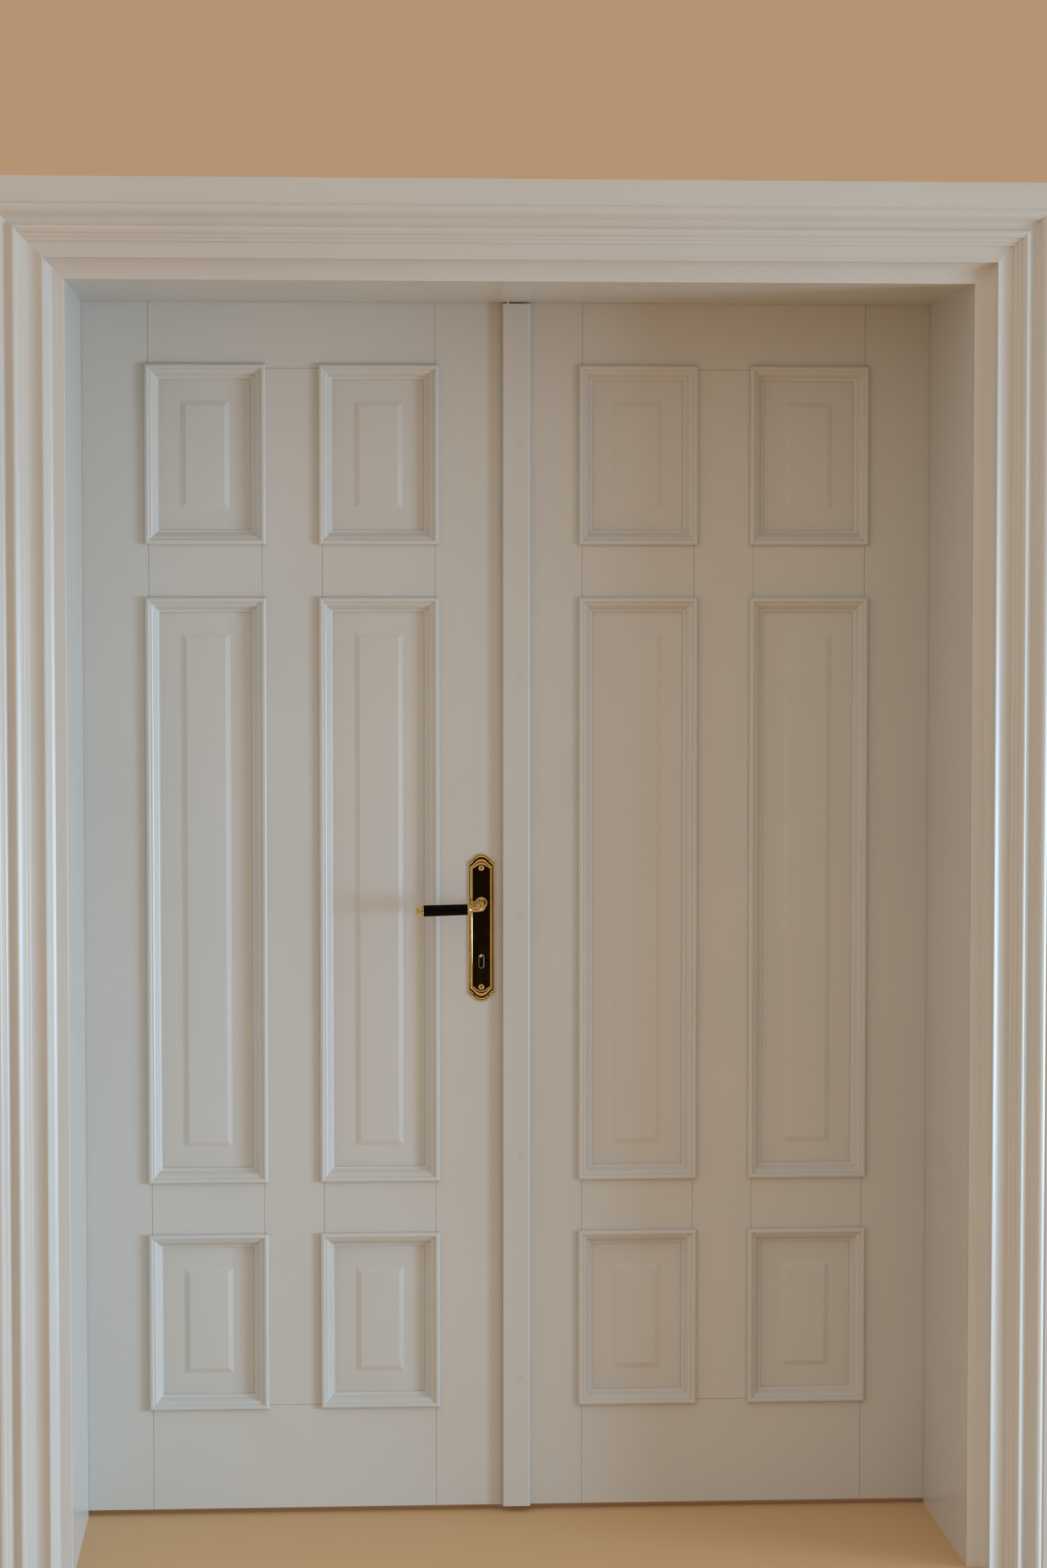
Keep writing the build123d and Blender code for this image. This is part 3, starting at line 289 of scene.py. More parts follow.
def shader(name, color, roughness, metallic=0.0):
    """A new material, and its principled shader."""
    material = bpy.data.materials.new(name)
    material.use_nodes = True
    principled = material.node_tree.nodes["Principled BSDF"]
    principled.inputs["Base Color"].default_value = (*color, 1)
    principled.inputs["Roughness"].default_value = roughness
    principled.inputs["Metallic"].default_value = metallic
    return material, principled


def noise(material, scale, stretch=(1, 1, 1), **settings):
    """A noise that reads the piece's own place; its scale is how fine it is to a metre."""
    nodes, links = material.node_tree.nodes, material.node_tree.links
    place = nodes.new("ShaderNodeTexCoord")
    mapping = nodes.new("ShaderNodeMapping")
    mapping.inputs["Scale"].default_value = stretch
    texture = nodes.new("ShaderNodeTexNoise")
    texture.inputs["Scale"].default_value = scale
    for socket, value in settings.items():
        texture.inputs[socket].default_value = value
    links.new(place.outputs["Object"], mapping.inputs["Vector"])
    links.new(mapping.outputs["Vector"], texture.inputs["Vector"])
    return texture.outputs["Fac"]


def between(material, factor, low, high):
    """A number that follows a noise from a low to a high value."""
    ranged = material.node_tree.nodes.new("ShaderNodeMapRange")
    for socket, value in zip(("From Min", "From Max", "To Min", "To Max"),
                             (*NOISE_RANGE, low, high)):
        ranged.inputs[socket].default_value = value
    material.node_tree.links.new(factor, ranged.inputs["Value"])
    return ranged.outputs["Result"]


def tint(material, factor, color, darker, lighter):
    """A colour that follows a noise between a darker and a lighter shade."""
    ramp = material.node_tree.nodes.new("ShaderNodeValToRGB")
    for stop, position, shade in zip(ramp.color_ramp.elements, NOISE_RANGE, (darker, lighter)):
        stop.position = position
        stop.color = (*(part * shade for part in color), 1)
    material.node_tree.links.new(factor, ramp.inputs["Fac"])
    return ramp.outputs["Color"]


def relief(material, principled, *heights):
    """Bumps from one or more noises, each with its own depth in metres."""
    nodes, links = material.node_tree.nodes, material.node_tree.links
    previous = None
    for height, depth in heights:
        bump = nodes.new("ShaderNodeBump")
        bump.inputs["Distance"].default_value = depth
        links.new(height, bump.inputs["Height"])
        if previous:
            links.new(previous, bump.inputs["Normal"])
        previous = bump.outputs["Normal"]
    links.new(previous, principled.inputs["Normal"])


def satin_paint(name, along, finishes):
    """Off-white satin paint, laid off with a brush along the length of the wood."""
    material, principled = shader(name, finishes.paint, finishes.paint_roughness)
    links = material.node_tree.links
    finer_across, smoother, rougher = 26.0, 0.02, 0.03
    across = [1.0 if axis == along else finer_across for axis in "XYZ"]
    strokes = noise(material, scale=14, stretch=across, Detail=5.0, Roughness=0.62)
    skin = noise(material, scale=700, Detail=2.0, Roughness=0.5)
    cloud = noise(material, scale=2.6, Detail=3.0, Roughness=0.55)
    links.new(tint(material, cloud, finishes.paint, darker=0.975, lighter=1.02),
              principled.inputs["Base Color"])
    links.new(between(material, strokes, finishes.paint_roughness - smoother,
                      finishes.paint_roughness + rougher), principled.inputs["Roughness"])
    relief(material, principled, (strokes, finishes.brush_marks), (skin, finishes.brush_marks / 4))
    principled.inputs["Specular IOR Level"].default_value = 0.45
    return material


def polished_brass(finishes):
    """Lacquered brass with faint polishing marks and slightly duller patches."""
    material, principled = shader("polished brass", finishes.brass, roughness=0.05, metallic=1.0)
    links = material.node_tree.links
    patches = noise(material, scale=90, Detail=4.0, Roughness=0.6)
    marks = noise(material, scale=900, stretch=(1, 1, 0.08), Detail=3.0)
    mark_depth = 0.0000003
    links.new(between(material, patches, low=0.035, high=0.075), principled.inputs["Roughness"])
    links.new(tint(material, patches, finishes.brass, darker=0.9, lighter=1.06),
              principled.inputs["Base Color"])
    relief(material, principled, (marks, mark_depth))
    return material


def black_grip(finishes):
    """The black of the grips, smooth with a soft sheen."""
    material, principled = shader("black grip", finishes.grip, roughness=0.3)
    principled.inputs["Specular IOR Level"].default_value = 0.08
    links = material.node_tree.links
    grain = noise(material, scale=500, stretch=(0.2, 1, 1), Detail=3.0)
    grain_depth = 0.00002
    links.new(between(material, grain, low=0.24, high=0.36), principled.inputs["Roughness"])
    relief(material, principled, (grain, grain_depth))
    return material


def drawn_steel(name, color):
    """Steel of the lock and hinges, drawn with fine lines along its length."""
    material, principled = shader(name, color, roughness=0.34, metallic=1.0)
    links = material.node_tree.links
    lines = noise(material, scale=300, stretch=(6, 6, 0.3), Detail=4.0)
    stains = noise(material, scale=60, Detail=3.0)
    line_depth = 0.00002
    links.new(between(material, lines, low=0.26, high=0.44), principled.inputs["Roughness"])
    links.new(tint(material, stains, color, darker=0.88, lighter=1.05),
              principled.inputs["Base Color"])
    relief(material, principled, (lines, line_depth))
    return material


def finish(name):
    """A finish that the first operator mixed."""
    return bpy.data.materials[name]


def dress(names, material):
    """Gives CAD nodes a material."""
    for name in names:
        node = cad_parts[name]
        node.data.materials.clear()
        node.data.materials.append(material)


# Drawing and joining

def verts_of(parts):
    """The vertices among the parts that an operator returns."""
    return [part for part in parts if isinstance(part, bmesh.types.BMVert)]


def edges_of(parts):
    """The edges among the parts that an operator returns."""
    return [part for part in parts if isinstance(part, bmesh.types.BMEdge)]


def chain(bm, moves, steps):
    """Draws a line through points in millimetres; a third number bows the run to that point."""
    last = bm.verts.new((moves[0][0], moves[0][1], 0))
    drawn = [last]
    for x, y, *bow in moves[1:]:
        end = Vector((x, y, 0))
        if bow:
            chord = end - last.co
            left = Vector((-chord.y, chord.x, 0)).normalized()
            radius = (chord.length_squared / 4 + bow[0] ** 2) / (2 * bow[0])
            centre = last.co + chord / 2 + left * (bow[0] - radius)
            angle = -math.copysign(2 * math.asin(chord.length / 2 / abs(radius)), bow[0])
            spun = bmesh.ops.spin(bm, geom=[last], cent=centre, axis=(0, 0, 1), angle=angle,
                                  steps=steps, use_duplicate=False)
            last = spun["geom_last"][0]
        else:
            last = bmesh.ops.extrude_vert_indiv(bm, verts=[last])["verts"][0]
        last.co = end
        drawn.append(last)
    return drawn


def circle(bm, radius, level=0):
    """Draws a circle in millimetres round a level on the Y axis."""
    bow = radius - HAIR
    chain(bm, ((-radius, level), (radius, level, bow), (-radius, level, bow)), steps=12)


def closed(bm, moves, steps=6):
    """Draws a closed section and fills it with a face."""
    drawn = chain(bm, moves, steps)
    bm.edges.new((drawn[-1], drawn[0]))
    return bmesh.ops.contextual_create(bm, geom=bm.edges[:])["faces"][0]


def arrises(bm, sharper, offset, segments=2, kept=lambda edge: True):
    """Rounds the edges that are sharper than an angle in degrees."""
    edges = [edge for edge in bm.edges
             if len(edge.link_faces) == 2 and kept(edge)
             and edge.calc_face_angle() > math.radians(sharper)]
    bmesh.ops.bevel(bm, geom=edges, offset=offset, affect="EDGES", segments=segments,
                    profile=0.5, material=-1, clamp_overlap=True)


def axes(across, out, along, origin):
    """Where a section drawn in millimetres goes: its X, its Y, its length and its start."""
    turn = Matrix((Vector(across), Vector(out), Vector(along))).transposed().to_4x4()
    return Matrix.Translation(origin) @ turn @ Matrix.Scale(MM, 4)


def gather(target, source, place):
    """Moves a drawn shape to its place and adds it to a piece."""
    bmesh.ops.transform(source, matrix=place, verts=source.verts)
    held = bpy.data.meshes.new("held")
    source.to_mesh(held)
    source.free()
    target.from_mesh(held)
    bpy.data.meshes.remove(held)


def moulded_bar(target, moves, place, low, high, arris, low_mitre=0, high_mitre=0, slot_index=0):
    """A length of moulding in millimetres, its ends square (0), or mitred out (1) or in (-1)."""
    bm = bmesh.new()
    spare, cut_play = 200, 1e-5

    def runs_along(edge):
        return abs((edge.verts[0].co - edge.verts[1].co).z) > spare

    face = closed(bm, moves)
    pulled = bmesh.ops.extrude_face_region(bm, geom=[face])["geom"]
    bmesh.ops.translate(bm, vec=(0, 0, high - low + 2 * spare), verts=verts_of(pulled))
    bmesh.ops.translate(bm, vec=(0, 0, low - spare), verts=bm.verts)
    bmesh.ops.recalc_face_normals(bm, faces=bm.faces)
    arrises(bm, sharper=24, offset=arris, kept=runs_along)
    for level, mitre, way in ((low, low_mitre, -1), (high, high_mitre, 1)):
        bmesh.ops.bisect_plane(bm, geom=bm.verts[:] + bm.edges[:] + bm.faces[:], dist=cut_play,
                               plane_co=(0, 0, level), plane_no=(-mitre, 0, way),
                               clear_outer=True)
        if mitre >= 0:
            rim = [edge for edge in bm.edges if len(edge.link_faces) == 1]
            bmesh.ops.contextual_create(bm, geom=rim)
    for face in bm.faces:
        face.material_index = slot_index
    gather(target, bm, place)


def turned_shape(target, moves, place, steps=40, arc_steps=5):
    """A turned shape: its outline gives distances along its axis and radii, in millimetres."""
    bm = bmesh.new()
    chain(bm, moves, arc_steps)
    bmesh.ops.spin(bm, geom=bm.verts[:] + bm.edges[:], cent=(0, 0, 0), axis=(1, 0, 0),
                   angle=2 * math.pi, steps=steps, use_merge=True, use_duplicate=False)
    bmesh.ops.remove_doubles(bm, verts=bm.verts, dist=SEAM)
    gather(target, bm, place)


def bent_rod(target, start, elbow, end, radius, bend, sides=28, steps=10):
    """A round rod that runs from a start round an elbow to an end, in metres."""
    way_in, way_out = (elbow - start).normalized(), (end - elbow).normalized()
    turn = way_in.angle(way_out)
    axis = way_in.cross(way_out).normalized()
    tangent = elbow - way_in * bend * math.tan(turn / 2)
    bm = bmesh.new()
    facing = way_in.to_track_quat("Z", "Y").to_matrix().to_4x4()
    bmesh.ops.create_circle(bm, segments=sides, radius=radius,
                            matrix=Matrix.Translation(start) @ facing)

    def run_on(edges, step):
        pulled = bmesh.ops.extrude_edge_only(bm, edges=edges)["geom"]
        bmesh.ops.translate(bm, vec=step, verts=verts_of(pulled))
        return pulled

    last = run_on(bm.edges[:], tangent - start)
    last = [part for part in last if not isinstance(part, bmesh.types.BMFace)]
    last = bmesh.ops.spin(bm, geom=last, cent=tangent + axis.cross(way_in) * bend, axis=axis,
                          angle=turn, steps=steps, use_duplicate=False)["geom_last"]
    left = (end - elbow).length - bend * math.tan(turn / 2)
    run_on(edges_of(last), way_out * left)
    bmesh.ops.holes_fill(bm, edges=bm.edges[:], sides=0)
    gather(target, bm, Matrix.Identity(4))


def both_faces(bm):
    """Repeats a drawn piece on the other face of the leaf."""
    twin = bmesh.ops.duplicate(bm, geom=bm.verts[:] + bm.edges[:] + bm.faces[:])["geom"]
    bmesh.ops.scale(bm, vec=(1, -1, 1), space=Matrix.Translation((0, -LEAF_MID, 0)),
                    verts=verts_of(twin))


def in_scene(name, bm, materials):
    """A new object of a drawn shape, put in the scene."""
    mesh = bpy.data.meshes.new(name)
    bm.to_mesh(mesh)
    bm.free()
    for material in materials:
        mesh.materials.append(material)
    thing = bpy.data.objects.new(name, mesh)
    bpy.context.scene.collection.objects.link(thing)
    return thing


def finished(name, bm, body, materials, nodes):
    """Makes a piece of a drawn shape: joins its seams, turns its faces out and names its body."""
    bmesh.ops.remove_doubles(bm, verts=bm.verts, dist=SEAM * MM)
    bmesh.ops.recalc_face_normals(bm, faces=bm.faces)
    for face in bm.faces:
        face.smooth = True
    for edge in bm.edges:
        edge.smooth = len(edge.link_faces) == 2 and edge.calc_face_angle() < SMOOTH_BELOW
    piece = in_scene(name, bm, materials)
    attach(piece, body)
    if nodes:
        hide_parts(*nodes)


def on_near_face(box):
    """The point on the leaf's near face that lies before the middle of a node's box."""
    x, _, z = ((low + high) / 2 for low, high in zip(*box))
    return Vector((x, LEAF_NEAR, z))


def leaf_openings(side):
    """The X spans and the named Z spans of the panel openings in a leaf."""
    uprights = sorted((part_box(f"{side}_{part}") for part in
                       ("hinge_stile", "muntin", "meeting_stile")), key=lambda box: box[0][0])
    rails = [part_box(f"{side}_{part}") for part in
             ("bottom_rail", "lower_cross_rails", "upper_cross_rails", "top_rail")]
    columns = [(low[1][0], high[0][0]) for low, high in zip(uprights, uprights[1:])]
    levels = [(low[1][2], high[0][2]) for low, high in zip(rails, rails[1:])]
    return columns, dict(zip(("bottom", "tall", "top"), levels))


# Operators

class DOOR_OT_finishes(bpy.types.Operator):
    """Mix the paints and prepare the metal finishes that the pieces share"""

    bl_idname = "door.finishes"
    bl_label = "Mix finishes"

    def execute(self, context):
        finishes = context.scene.door_finishes
        for name, along in (("upright paint", "Z"), ("level paint", "X"), ("filler paint", "Y")):
            satin_paint(name, along, finishes)
        polished_brass(finishes)
        black_grip(finishes)
        drawn_steel("bare steel", finishes.steel)
        # The steel behind the keyholes is darkened as painted shade, for the shadow inside the
        # lock
        drawn_steel("steel in painted shade", [finishes.keyhole_painted_shade * part for part in finishes.steel])
        return {"FINISHED"}


class DOOR_OT_joinery(bpy.types.Operator):
    """Paint the lining, the stiles, rails, muntins and the astragal, and fill its screws"""

    bl_idname = "door.joinery"
    bl_label = "Paint joinery"

    def execute(self, context):
        uprights = ["jamb_lining_left", "jamb_lining_right", "astragal"]
        levels = ["head_lining"]
        for side in LEAF_BODIES:
            uprights += [f"{side}_{part}" for part in ("hinge_stile", "meeting_stile", "muntin")]
            levels += [f"{side}_{part}" for part in (
                "bottom_rail", "top_rail", "lower_cross_rails", "upper_cross_rails")]
        dress(uprights, finish("upright paint"))
        dress(levels, finish("level paint"))
        low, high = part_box("astragal_screws")
        bm = bmesh.new()
        for level in context.scene.door_sizes.astragal_screws:
            start = ((low[0] + high[0]) / 2, low[1], level)
            turned_shape(bm, FILLED_SCREW_OUTLINE, axes(NEARER, RIGHT, UP, start))
        finished("filled_astragal_screws", bm, "passive_leaf",
                 [finish("filler paint")], ["astragal_screws"])
        return {"FINISHED"}


class DOOR_OT_casings(bpy.types.Operator):
    """Run the stepped casings round the opening, mitred at the head, on both sides of the wall"""

    bl_idname = "door.casings"
    bl_label = "Make casings"

    def execute(self, context):
        arris = context.scene.door_sizes.casing_arris / MM
        for face, wall_corner, out in (("front", 1, NEARER), ("rear", 0, FARTHER)):
            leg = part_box(f"{face}_casing_left")
            wall, inner = leg[wall_corner][1], -leg[1][0]
            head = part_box(f"{face}_casing_head")[0][2]
            for side, turn in (("left", -1), ("right", 1)):
                bm = bmesh.new()
                place = axes((turn, 0, 0), out, UP, (turn * inner, wall, 0))
                moulded_bar(bm, CASING_SECTION, place, 0, head / MM, arris, high_mitre=1)
                finished(f"{face}_{side}_casing_run", bm, "frame",
                         [finish("upright paint")], [f"{face}_casing_{side}"])
            bm = bmesh.new()
            place = axes(UP, out, RIGHT, (0, wall, head))
            moulded_bar(bm, CASING_SECTION, place, -inner / MM, inner / MM, arris,
                        low_mitre=1, high_mitre=1)
            finished(f"{face}_head_casing_run", bm, "frame",
                     [finish("level paint")], [f"{face}_casing_head"])
        return {"FINISHED"}


class DOOR_OT_panels(bpy.types.Operator):
    """Make the fielded panels, each a thin-edged board with a raised field on both faces"""

    bl_idname = "door.panels"
    bl_label = "Make panels"

    def execute(self, context):
        sizes = context.scene.door_sizes
        for side, body in LEAF_BODIES.items():
            columns, levels = leaf_openings(side)
            for level, z_span in levels.items():
                bm = bmesh.new()
                for x_span in columns:
                    self.panel(bm, sizes, x_span, z_span)
                finished(f"{side}_{level}_panel_boards", bm, body,
                         [finish("upright paint")], [f"{side}_{level}_panels"])
        return {"FINISHED"}

    def panel(self, target, sizes, x_span, z_span):
        """One panel: its edge goes into the grooves, and insets raise both faces."""
        bm = bmesh.new()
        bmesh.ops.create_cube(bm, size=1)
        width, height = (span[1] - span[0] for span in (x_span, z_span))
        bmesh.ops.scale(bm, verts=bm.verts, vec=(
            width + 2 * sizes.panel_edge, sizes.panel_edge_thickness,
            height + 2 * sizes.panel_edge))
        rise = (sizes.panel_thickness - sizes.panel_edge_thickness) / 2
        faces = [face for face in bm.faces if abs(face.normal.y) > 0.5]
        for inward, outward in ((sizes.panel_edge + sizes.panel_play, 0), (0, rise),
                                (sizes.field_margin - sizes.panel_play, 0),
                                (sizes.field_bevel, sizes.field_rise)):
            for face in faces:
                bmesh.ops.inset_individual(bm, faces=[face], thickness=inward, depth=outward,
                                           use_even_offset=True)
        arrises(bm, sharper=20, offset=sizes.field_arris, segments=3)
        middle = (sum(x_span) / 2, LEAF_MID, sum(z_span) / 2)
        gather(target, bm, Matrix.Translation(middle))


class DOOR_OT_mouldings(bpy.types.Operator):
    """Fit the mitred mouldings round the panels, on both faces of both leaves"""

    bl_idname = "door.mouldings"
    bl_label = "Fit panel mouldings"

    def execute(self, context):
        arris = context.scene.door_sizes.moulding_arris / MM
        for side, body in LEAF_BODIES.items():
            columns, levels = leaf_openings(side)
            for face, surface, out in (("near", LEAF_NEAR, NEARER), ("far", LEAF_FAR, FARTHER)):
                bm = bmesh.new()
                for x_span in columns:
                    for z_span in levels.values():
                        self.ring(bm, x_span, z_span, surface, out, arris)
                finished(f"{side}_{face}_moulding_rings", bm, body,
                         [finish("upright paint"), finish("level paint")],
                         [f"{side}_{face}_mouldings"])
        return {"FINISHED"}

    def ring(self, target, x_span, z_span, surface, out, arris):
        """Four lengths of moulding, mitred inward and joined at their corners."""
        middle = Vector((sum(x_span) / 2, surface, sum(z_span) / 2))
        half = Vector(((x_span[1] - x_span[0]) / 2, 0, (z_span[1] - z_span[0]) / 2))
        for slot_index, (inward, along) in enumerate(((RIGHT, UP), (UP, RIGHT))):
            reach = half.dot(Vector(along)) / MM
            for turn in (1, -1):
                way = turn * Vector(inward)
                edge = middle - way * half.dot(Vector(inward))
                moulded_bar(target, PANEL_MOULDING_SECTION, axes(way, out, along, edge),
                            -reach, reach, arris, low_mitre=-1, high_mitre=-1,
                            slot_index=slot_index)


class DOOR_OT_lock_plates(bpy.types.Operator):
    """Make the brass lock plates, their screws and the steel in the keyhole, darkened as painted
    shade
    """

    bl_idname = "door.lock_plates"
    bl_label = "Make lock plates"

    def execute(self, context):
        key_drop = context.scene.door_sizes.key_drop
        middle = on_near_face(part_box("lock_plates"))
        spindle = on_near_face(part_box("lever_spindle"))
        spindle_level = (spindle.z - middle.z) / MM
        bm = bmesh.new()
        self.plate(bm, axes(RIGHT, UP, NEARER, middle), spindle_level,
                   spindle_level - key_drop / MM)
        both_faces(bm)
        finished("moulded_lock_plates", bm, "active_leaf",
                 [finish("polished brass")], ["lock_plates"])

        low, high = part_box("lock_plate_screws")
        reach = (high[2] - low[2]) / 2 - PLATE_SCREW_RADIUS * MM
        bm = bmesh.new()
        for level in (-reach, reach):
            start = middle + Vector((0, 0, level))
            turned_shape(bm, PLATE_SCREW_OUTLINE, axes(NEARER, RIGHT, UP, start))
        both_faces(bm)
        finished("domed_plate_screws", bm, "active_leaf",
                 [finish("polished brass")], ["lock_plate_screws"])

        key = Vector((middle.x, LEAF_MID + LEVER_STACK_THICKNESS * MM / 2, spindle.z - key_drop))
        bm = bmesh.new()
        chain(bm, LEVER_STACK_OUTLINE, steps=1)
        circle(bm, LEVER_STACK_HOLE_RADIUS)
        bmesh.ops.remove_doubles(bm, verts=bm.verts, dist=HAIR)
        bmesh.ops.triangle_fill(bm, use_beauty=True, edges=bm.edges[:])
        pulled = bmesh.ops.extrude_face_region(bm, geom=bm.faces[:])["geom"]
        bmesh.ops.translate(bm, vec=(0, 0, LEVER_STACK_THICKNESS), verts=verts_of(pulled))
        bmesh.ops.transform(bm, matrix=axes(RIGHT, UP, NEARER, key), verts=bm.verts)
        # Its steel is darkened as painted shade, for the shadow inside the lock
        finished("lock_lever_stack", bm, "active_leaf",
                 [finish("steel in painted shade")], [])
        return {"FINISHED"}

    def contour(self, bm, half, hip, crown, height):
        """One contour of the plate, with a crown between two hollow shoulders at each end."""
        joint_x, joint = SHOULDER_REACH * half, hip + SHOULDER_RISE * (crown - hip)
        bow, hollow = crown - joint, -SHOULDER_HOLLOW * half
        verts_before, edges_before = set(bm.verts), set(bm.edges)
        drawn = chain(bm, (
            (-half, 0), (-half, hip), (-joint_x, joint, hollow), (joint_x, joint, bow),
            (half, hip, hollow), (half, -hip), (joint_x, -joint, hollow),
            (-joint_x, -joint, bow), (-half, -hip, hollow)), steps=10)
        bm.edges.new((drawn[-1], drawn[0]))
        bmesh.ops.translate(bm, vec=(0, 0, height),
                            verts=[vert for vert in bm.verts if vert not in verts_before])
        return [edge for edge in bm.edges if edge not in edges_before]

    def plate(self, target, place, spindle_level, key_level):
        """One plate: its edge and mouldings step in to the field, which has its two openings."""
        bm = bmesh.new()
        rings = [self.contour(bm, half, PLATE_STRAIGHT + hip, PLATE_STRAIGHT + crown, height)
                 for half, hip, crown, height in LOCK_PLATE_CONTOURS]
        for lower, upper in zip(rings, rings[1:]):
            bmesh.ops.bridge_loops(bm, edges=lower + upper)

        drawn_before = set(bm.verts)
        key_foot, key_bow = key_level - KEY_SLOT_LENGTH, KEY_SLOT_RADIUS - HAIR
        chain(bm, ((-KEY_SLOT_RADIUS, key_foot), (-KEY_SLOT_RADIUS, key_level),
                   (KEY_SLOT_RADIUS, key_level, key_bow), (KEY_SLOT_RADIUS, key_foot),
                   (-KEY_SLOT_RADIUS, key_foot, key_bow)), steps=12)
        circle(bm, SPINDLE_HOLE_RADIUS, spindle_level)
        openings = [vert for vert in bm.verts if vert not in drawn_before]
        field_height = LOCK_PLATE_CONTOURS[-1][-1]
        bmesh.ops.translate(bm, vec=(0, 0, field_height), verts=openings)
        bmesh.ops.remove_doubles(bm, verts=openings, dist=HAIR)
        loops = [edge for edge in bm.edges if not edge.link_faces]
        bmesh.ops.triangle_fill(bm, use_beauty=True, edges=rings[-1] + loops)

        lip = bmesh.ops.extrude_edge_only(bm, edges=loops)["geom"]
        lip_verts = verts_of(lip)
        bmesh.ops.translate(bm, vec=(0, 0, -LIP_DROP), verts=lip_verts)
        key_middle = (key_level + key_foot) / 2
        bmesh.ops.scale(bm, vec=KEY_LIP_SHRINK, space=Matrix.Translation((0, -key_middle, 0)),
                        verts=[vert for vert in lip_verts
                               if abs(vert.co.y - key_middle) < KEY_SLOT_LENGTH])
        lip_edges = [edge for edge in edges_of(lip)
                     if all(vert in lip_verts for vert in edge.verts)]
        walls = bmesh.ops.extrude_edge_only(bm, edges=lip_edges)["geom"]
        bmesh.ops.translate(bm, vec=(0, 0, LIP_DROP - field_height), verts=verts_of(walls))
        behind = [edge for edge in edges_of(walls)
                  if all(abs(vert.co.z) < SEAM for vert in edge.verts)]
        bmesh.ops.triangle_fill(bm, use_beauty=True, edges=rings[0] + behind)
        gather(target, bm, place)


class DOOR_OT_levers(bpy.types.Operator):
    """Make the lever handles: ringed bosses, bent necks, ferrules, black grips and end caps"""

    bl_idname = "door.levers"
    bl_label = "Make levers"

    def execute(self, context):
        sizes = context.scene.door_sizes
        centre = on_near_face(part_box("lever_spindle"))
        way = Vector((-math.cos(sizes.lever_slope), 0, -math.sin(sizes.lever_slope)))
        elbow = centre + Vector((0, -sizes.lever_standoff, -sizes.lever_drop))
        boss = axes(NEARER, RIGHT, UP, centre)
        lever = axes(way, FARTHER, way.cross(Vector(FARTHER)), elbow)
        for name, outlines, slot, material, node in (
            ("ringed_boss_and_neck", ((BOSS_OUTLINE, boss), (FERRULE_OUTLINE, lever)),
             "lever_brass", "polished brass", "lever_necks"),
            ("black_lever_grips", ((GRIP_OUTLINE, lever),), "grip_black", "black grip",
             "lever_grips"),
            ("brass_lever_caps", ((CAP_OUTLINE, lever),), "lever_brass", "polished brass",
             "lever_end_caps"),
        ):
            bm = bmesh.new()
            for outline, place in outlines:
                turned_shape(bm, outline, place)
            if node == "lever_necks":
                bent_rod(bm, centre + Vector(NEARER) * (NECK_START * MM), elbow,
                         elbow + way * (NECK_END * MM), sizes.neck_radius, sizes.neck_bend)
            both_faces(bm)
            finished(name, bm, "lever", [finish(material)], [node])
        return {"FINISHED"}


class DOOR_OT_ironmongery(bpy.types.Operator):
    """Finish the lock, the hinges, the bolts and the screws"""

    bl_idname = "door.ironmongery"
    bl_label = "Finish ironmongery"

    def execute(self, context):
        dress(["hinge_halves_frame", "hinge_halves_left", "hinge_halves_right", "hinge_pins",
               "lock_faceplate", "strike_plate", "latch_bolt", "dead_bolt", "flush_bolt_plates",
               "upper_flush_bolt", "lower_flush_bolt", "head_keep_plate", "lever_spindle",
               "lock_follower", "lock_case", "frame_screws", "edge_screws_left",
               "edge_screws_right"], finish("bare steel"))
        return {"FINISHED"}


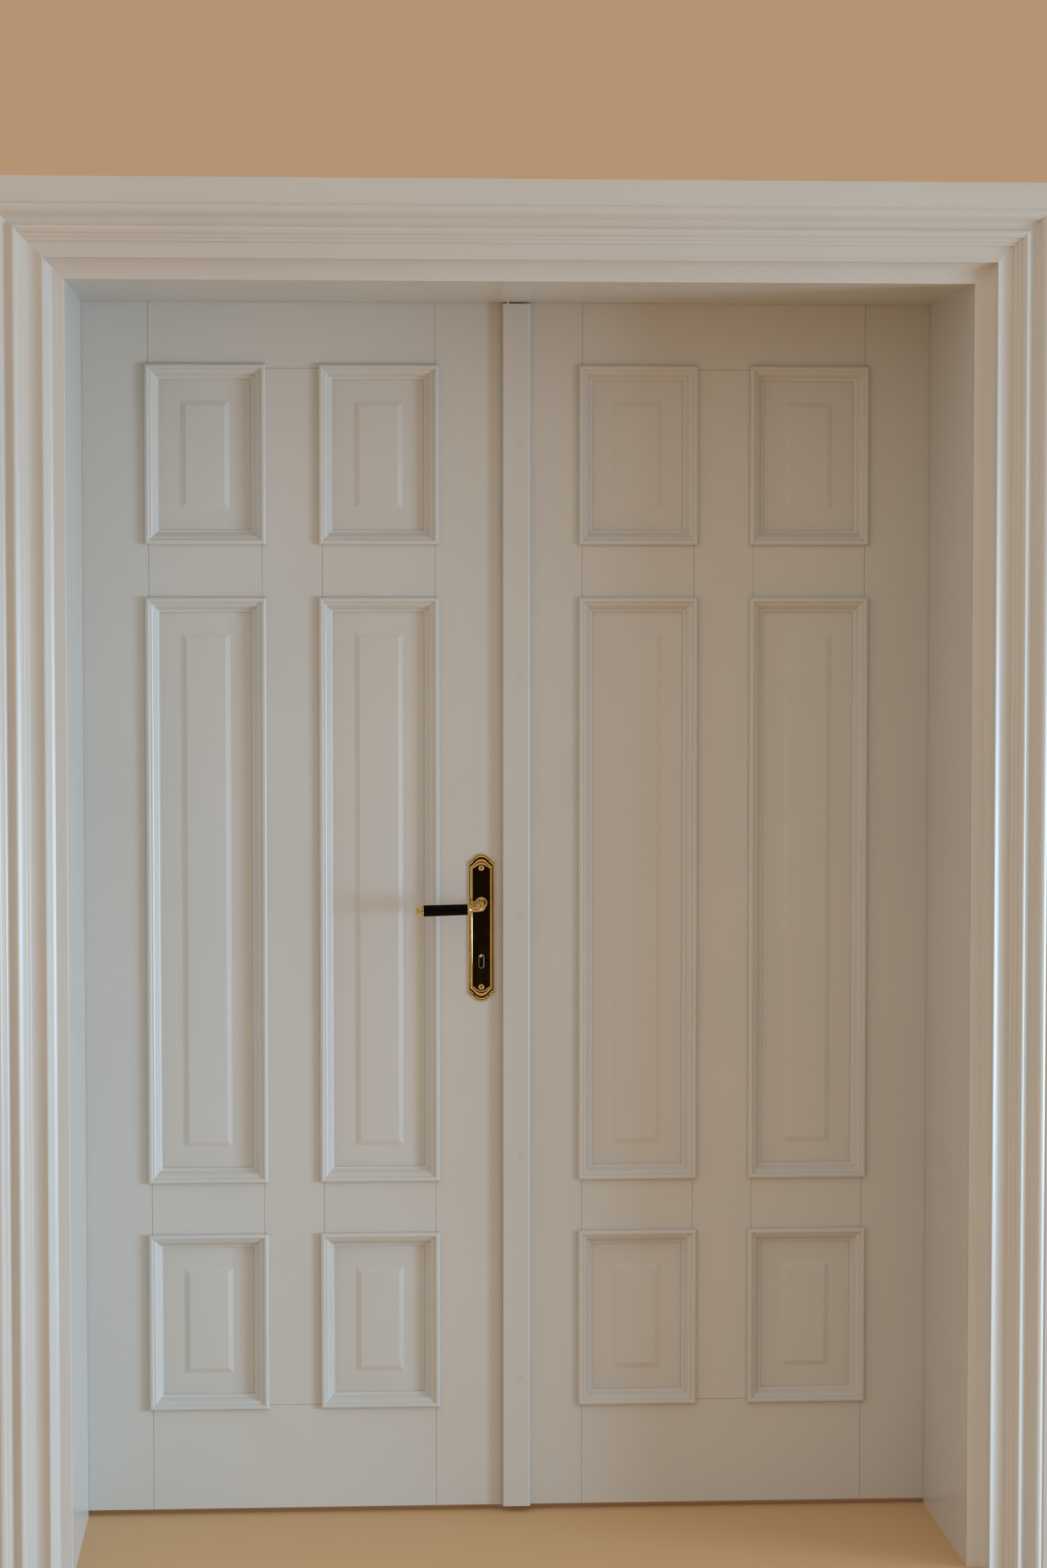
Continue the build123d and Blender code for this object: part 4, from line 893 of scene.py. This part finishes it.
class DOOR_OT_stage(bpy.types.Operator):
    """Lay the floor, and set the light and the camera"""

    bl_idname = "door.stage"
    bl_label = "Set stage"

    def execute(self, context):
        stage = context.scene.door_stage
        bm = bmesh.new()
        bmesh.ops.create_grid(bm, x_segments=1, y_segments=1, size=FLOOR_REACH)
        floor = in_scene("pale_floor", bm, [shader("pale floor", stage.floor, roughness=0.55)[0]])

        # The dark card paints a dark reflection, as painted shade, into gloss and polished metal
        self.card("dark_card", DARK_CARD_PLACE, DARK_CARD_AIM, DARK_CARD_SIZE,
                  color=stage.painted_dark_reflection)
        place, aim = Vector(stage.window_place), Vector(stage.window_aim)
        # The window card glows, though it is no lamp, and paints the window's reflection into
        # gloss and polished metal
        self.card("window_card", place + (aim - place).normalized() * WINDOW_CARD_LEAD, aim,
                  [side + WINDOW_CARD_MARGIN for side in stage.window_size],
                  glow_color=stage.window_glow, glow=stage.window_glow_strength)

        self.room(context, stage)

        lamp = bpy.data.lights.new("window", "AREA")
        lamp.shape = "RECTANGLE"
        lamp.size, lamp.size_y = stage.window_size
        lamp.energy = stage.window_power
        lamp.color = stage.window_light
        lamp.spread = stage.window_spread
        holder = bpy.data.objects.new("window", lamp)
        context.scene.collection.objects.link(holder)
        holder.location = place
        holder.rotation_euler = (aim - place).to_track_quat("-Z", "Y").to_euler()

        lens = bpy.data.cameras.new("camera")
        lens.sensor_fit = "VERTICAL"
        lens.sensor_height = 36
        lens.lens = stage.lens
        camera = bpy.data.objects.new("camera", lens)
        context.scene.collection.objects.link(camera)
        camera.location = stage.camera_place
        camera.rotation_euler = stage.camera_turn
        context.scene.camera = camera
        context.scene.view_settings.view_transform = "Standard"
        return {"FINISHED"}

    def card(self, name, place, aim, size, color=(0, 0, 0), glow_color=(0, 0, 0), glow=0):
        """A plain card that only gloss and polished metal see, a painted reflection that stands in
        for a part of the room: dark as painted shade, or glowing though it is no lamp.
        """
        bm = bmesh.new()
        bmesh.ops.create_grid(bm, x_segments=1, y_segments=1, size=0.5)
        bmesh.ops.scale(bm, vec=(*size, 1), verts=bm.verts)
        facing = (Vector(aim) - Vector(place)).to_track_quat("Z", "Y").to_matrix().to_4x4()
        bmesh.ops.transform(bm, matrix=Matrix.Translation(place) @ facing, verts=bm.verts)
        material, principled = shader(name.replace("_", " "), color, roughness=1.0)
        principled.inputs["Specular IOR Level"].default_value = 0
        principled.inputs["Emission Color"].default_value = (*glow_color, 1)
        principled.inputs["Emission Strength"].default_value = glow
        material.cycles.emission_sampling = "NONE"
        card = in_scene(name, bm, [material])
        for ray in ("camera", "diffuse", "shadow", "transmission", "volume_scatter"):
            setattr(card, f"visible_{ray}", False)

    def room(self, context, stage):
        """The world: it lights with one colour, and the eye, gloss and glass see another."""
        world = bpy.data.worlds.new("room")
        context.scene.world = world
        world.use_nodes = True
        nodes, links = world.node_tree.nodes, world.node_tree.links
        light = nodes["Background"]
        light.inputs["Color"].default_value = (*stage.room_light, 1)
        seen = nodes.new("ShaderNodeBackground")
        seen.inputs["Color"].default_value = (*stage.background, 1)
        path = nodes.new("ShaderNodeLightPath")
        seeing = path.outputs["Is Camera Ray"]
        for ray in ("Is Glossy Ray", "Is Transmission Ray"):
            either = nodes.new("ShaderNodeMath")
            either.operation = "MAXIMUM"
            links.new(seeing, either.inputs[0])
            links.new(path.outputs[ray], either.inputs[1])
            seeing = either.outputs[0]
        choose = nodes.new("ShaderNodeMixShader")
        links.new(seeing, choose.inputs["Fac"])
        links.new(light.outputs["Background"], choose.inputs[1])
        links.new(seen.outputs["Background"], choose.inputs[2])
        links.new(choose.outputs["Shader"], nodes["World Output"].inputs["Surface"])


class DOOR_PT_panel(bpy.types.Panel):
    """Lists the door's operators and its sizes"""

    bl_idname = "DOOR_PT_panel"
    bl_label = "Double door"
    bl_space_type = "VIEW_3D"
    bl_region_type = "UI"
    bl_category = "Door"

    def draw(self, context):
        layout = self.layout
        for operator in OPERATORS:
            layout.operator(operator.bl_idname)
        scene = context.scene
        for group in (scene.door_sizes, scene.door_finishes, scene.door_stage):
            box = layout.box()
            for name in group.__annotations__:
                box.prop(group, name)


OPERATORS = (DOOR_OT_finishes, DOOR_OT_joinery, DOOR_OT_casings, DOOR_OT_panels,
             DOOR_OT_mouldings, DOOR_OT_lock_plates, DOOR_OT_levers, DOOR_OT_ironmongery,
             DOOR_OT_stage)
CLASSES = (DoorSizes, DoorFinishes, DoorStage, *OPERATORS, DOOR_PT_panel)


def register():
    for cls in CLASSES:
        bpy.utils.register_class(cls)
    bpy.types.Scene.door_sizes = bpy.props.PointerProperty(type=DoorSizes)
    bpy.types.Scene.door_finishes = bpy.props.PointerProperty(type=DoorFinishes)
    bpy.types.Scene.door_stage = bpy.props.PointerProperty(type=DoorStage)


def unregister():
    del bpy.types.Scene.door_stage
    del bpy.types.Scene.door_finishes
    del bpy.types.Scene.door_sizes
    for cls in reversed(CLASSES):
        bpy.utils.unregister_class(cls)


def main():
    register()
    for operator in OPERATORS:
        getattr(bpy.ops.door, operator.bl_idname.split(".")[1])()


if __name__ == "__main__":
    main()
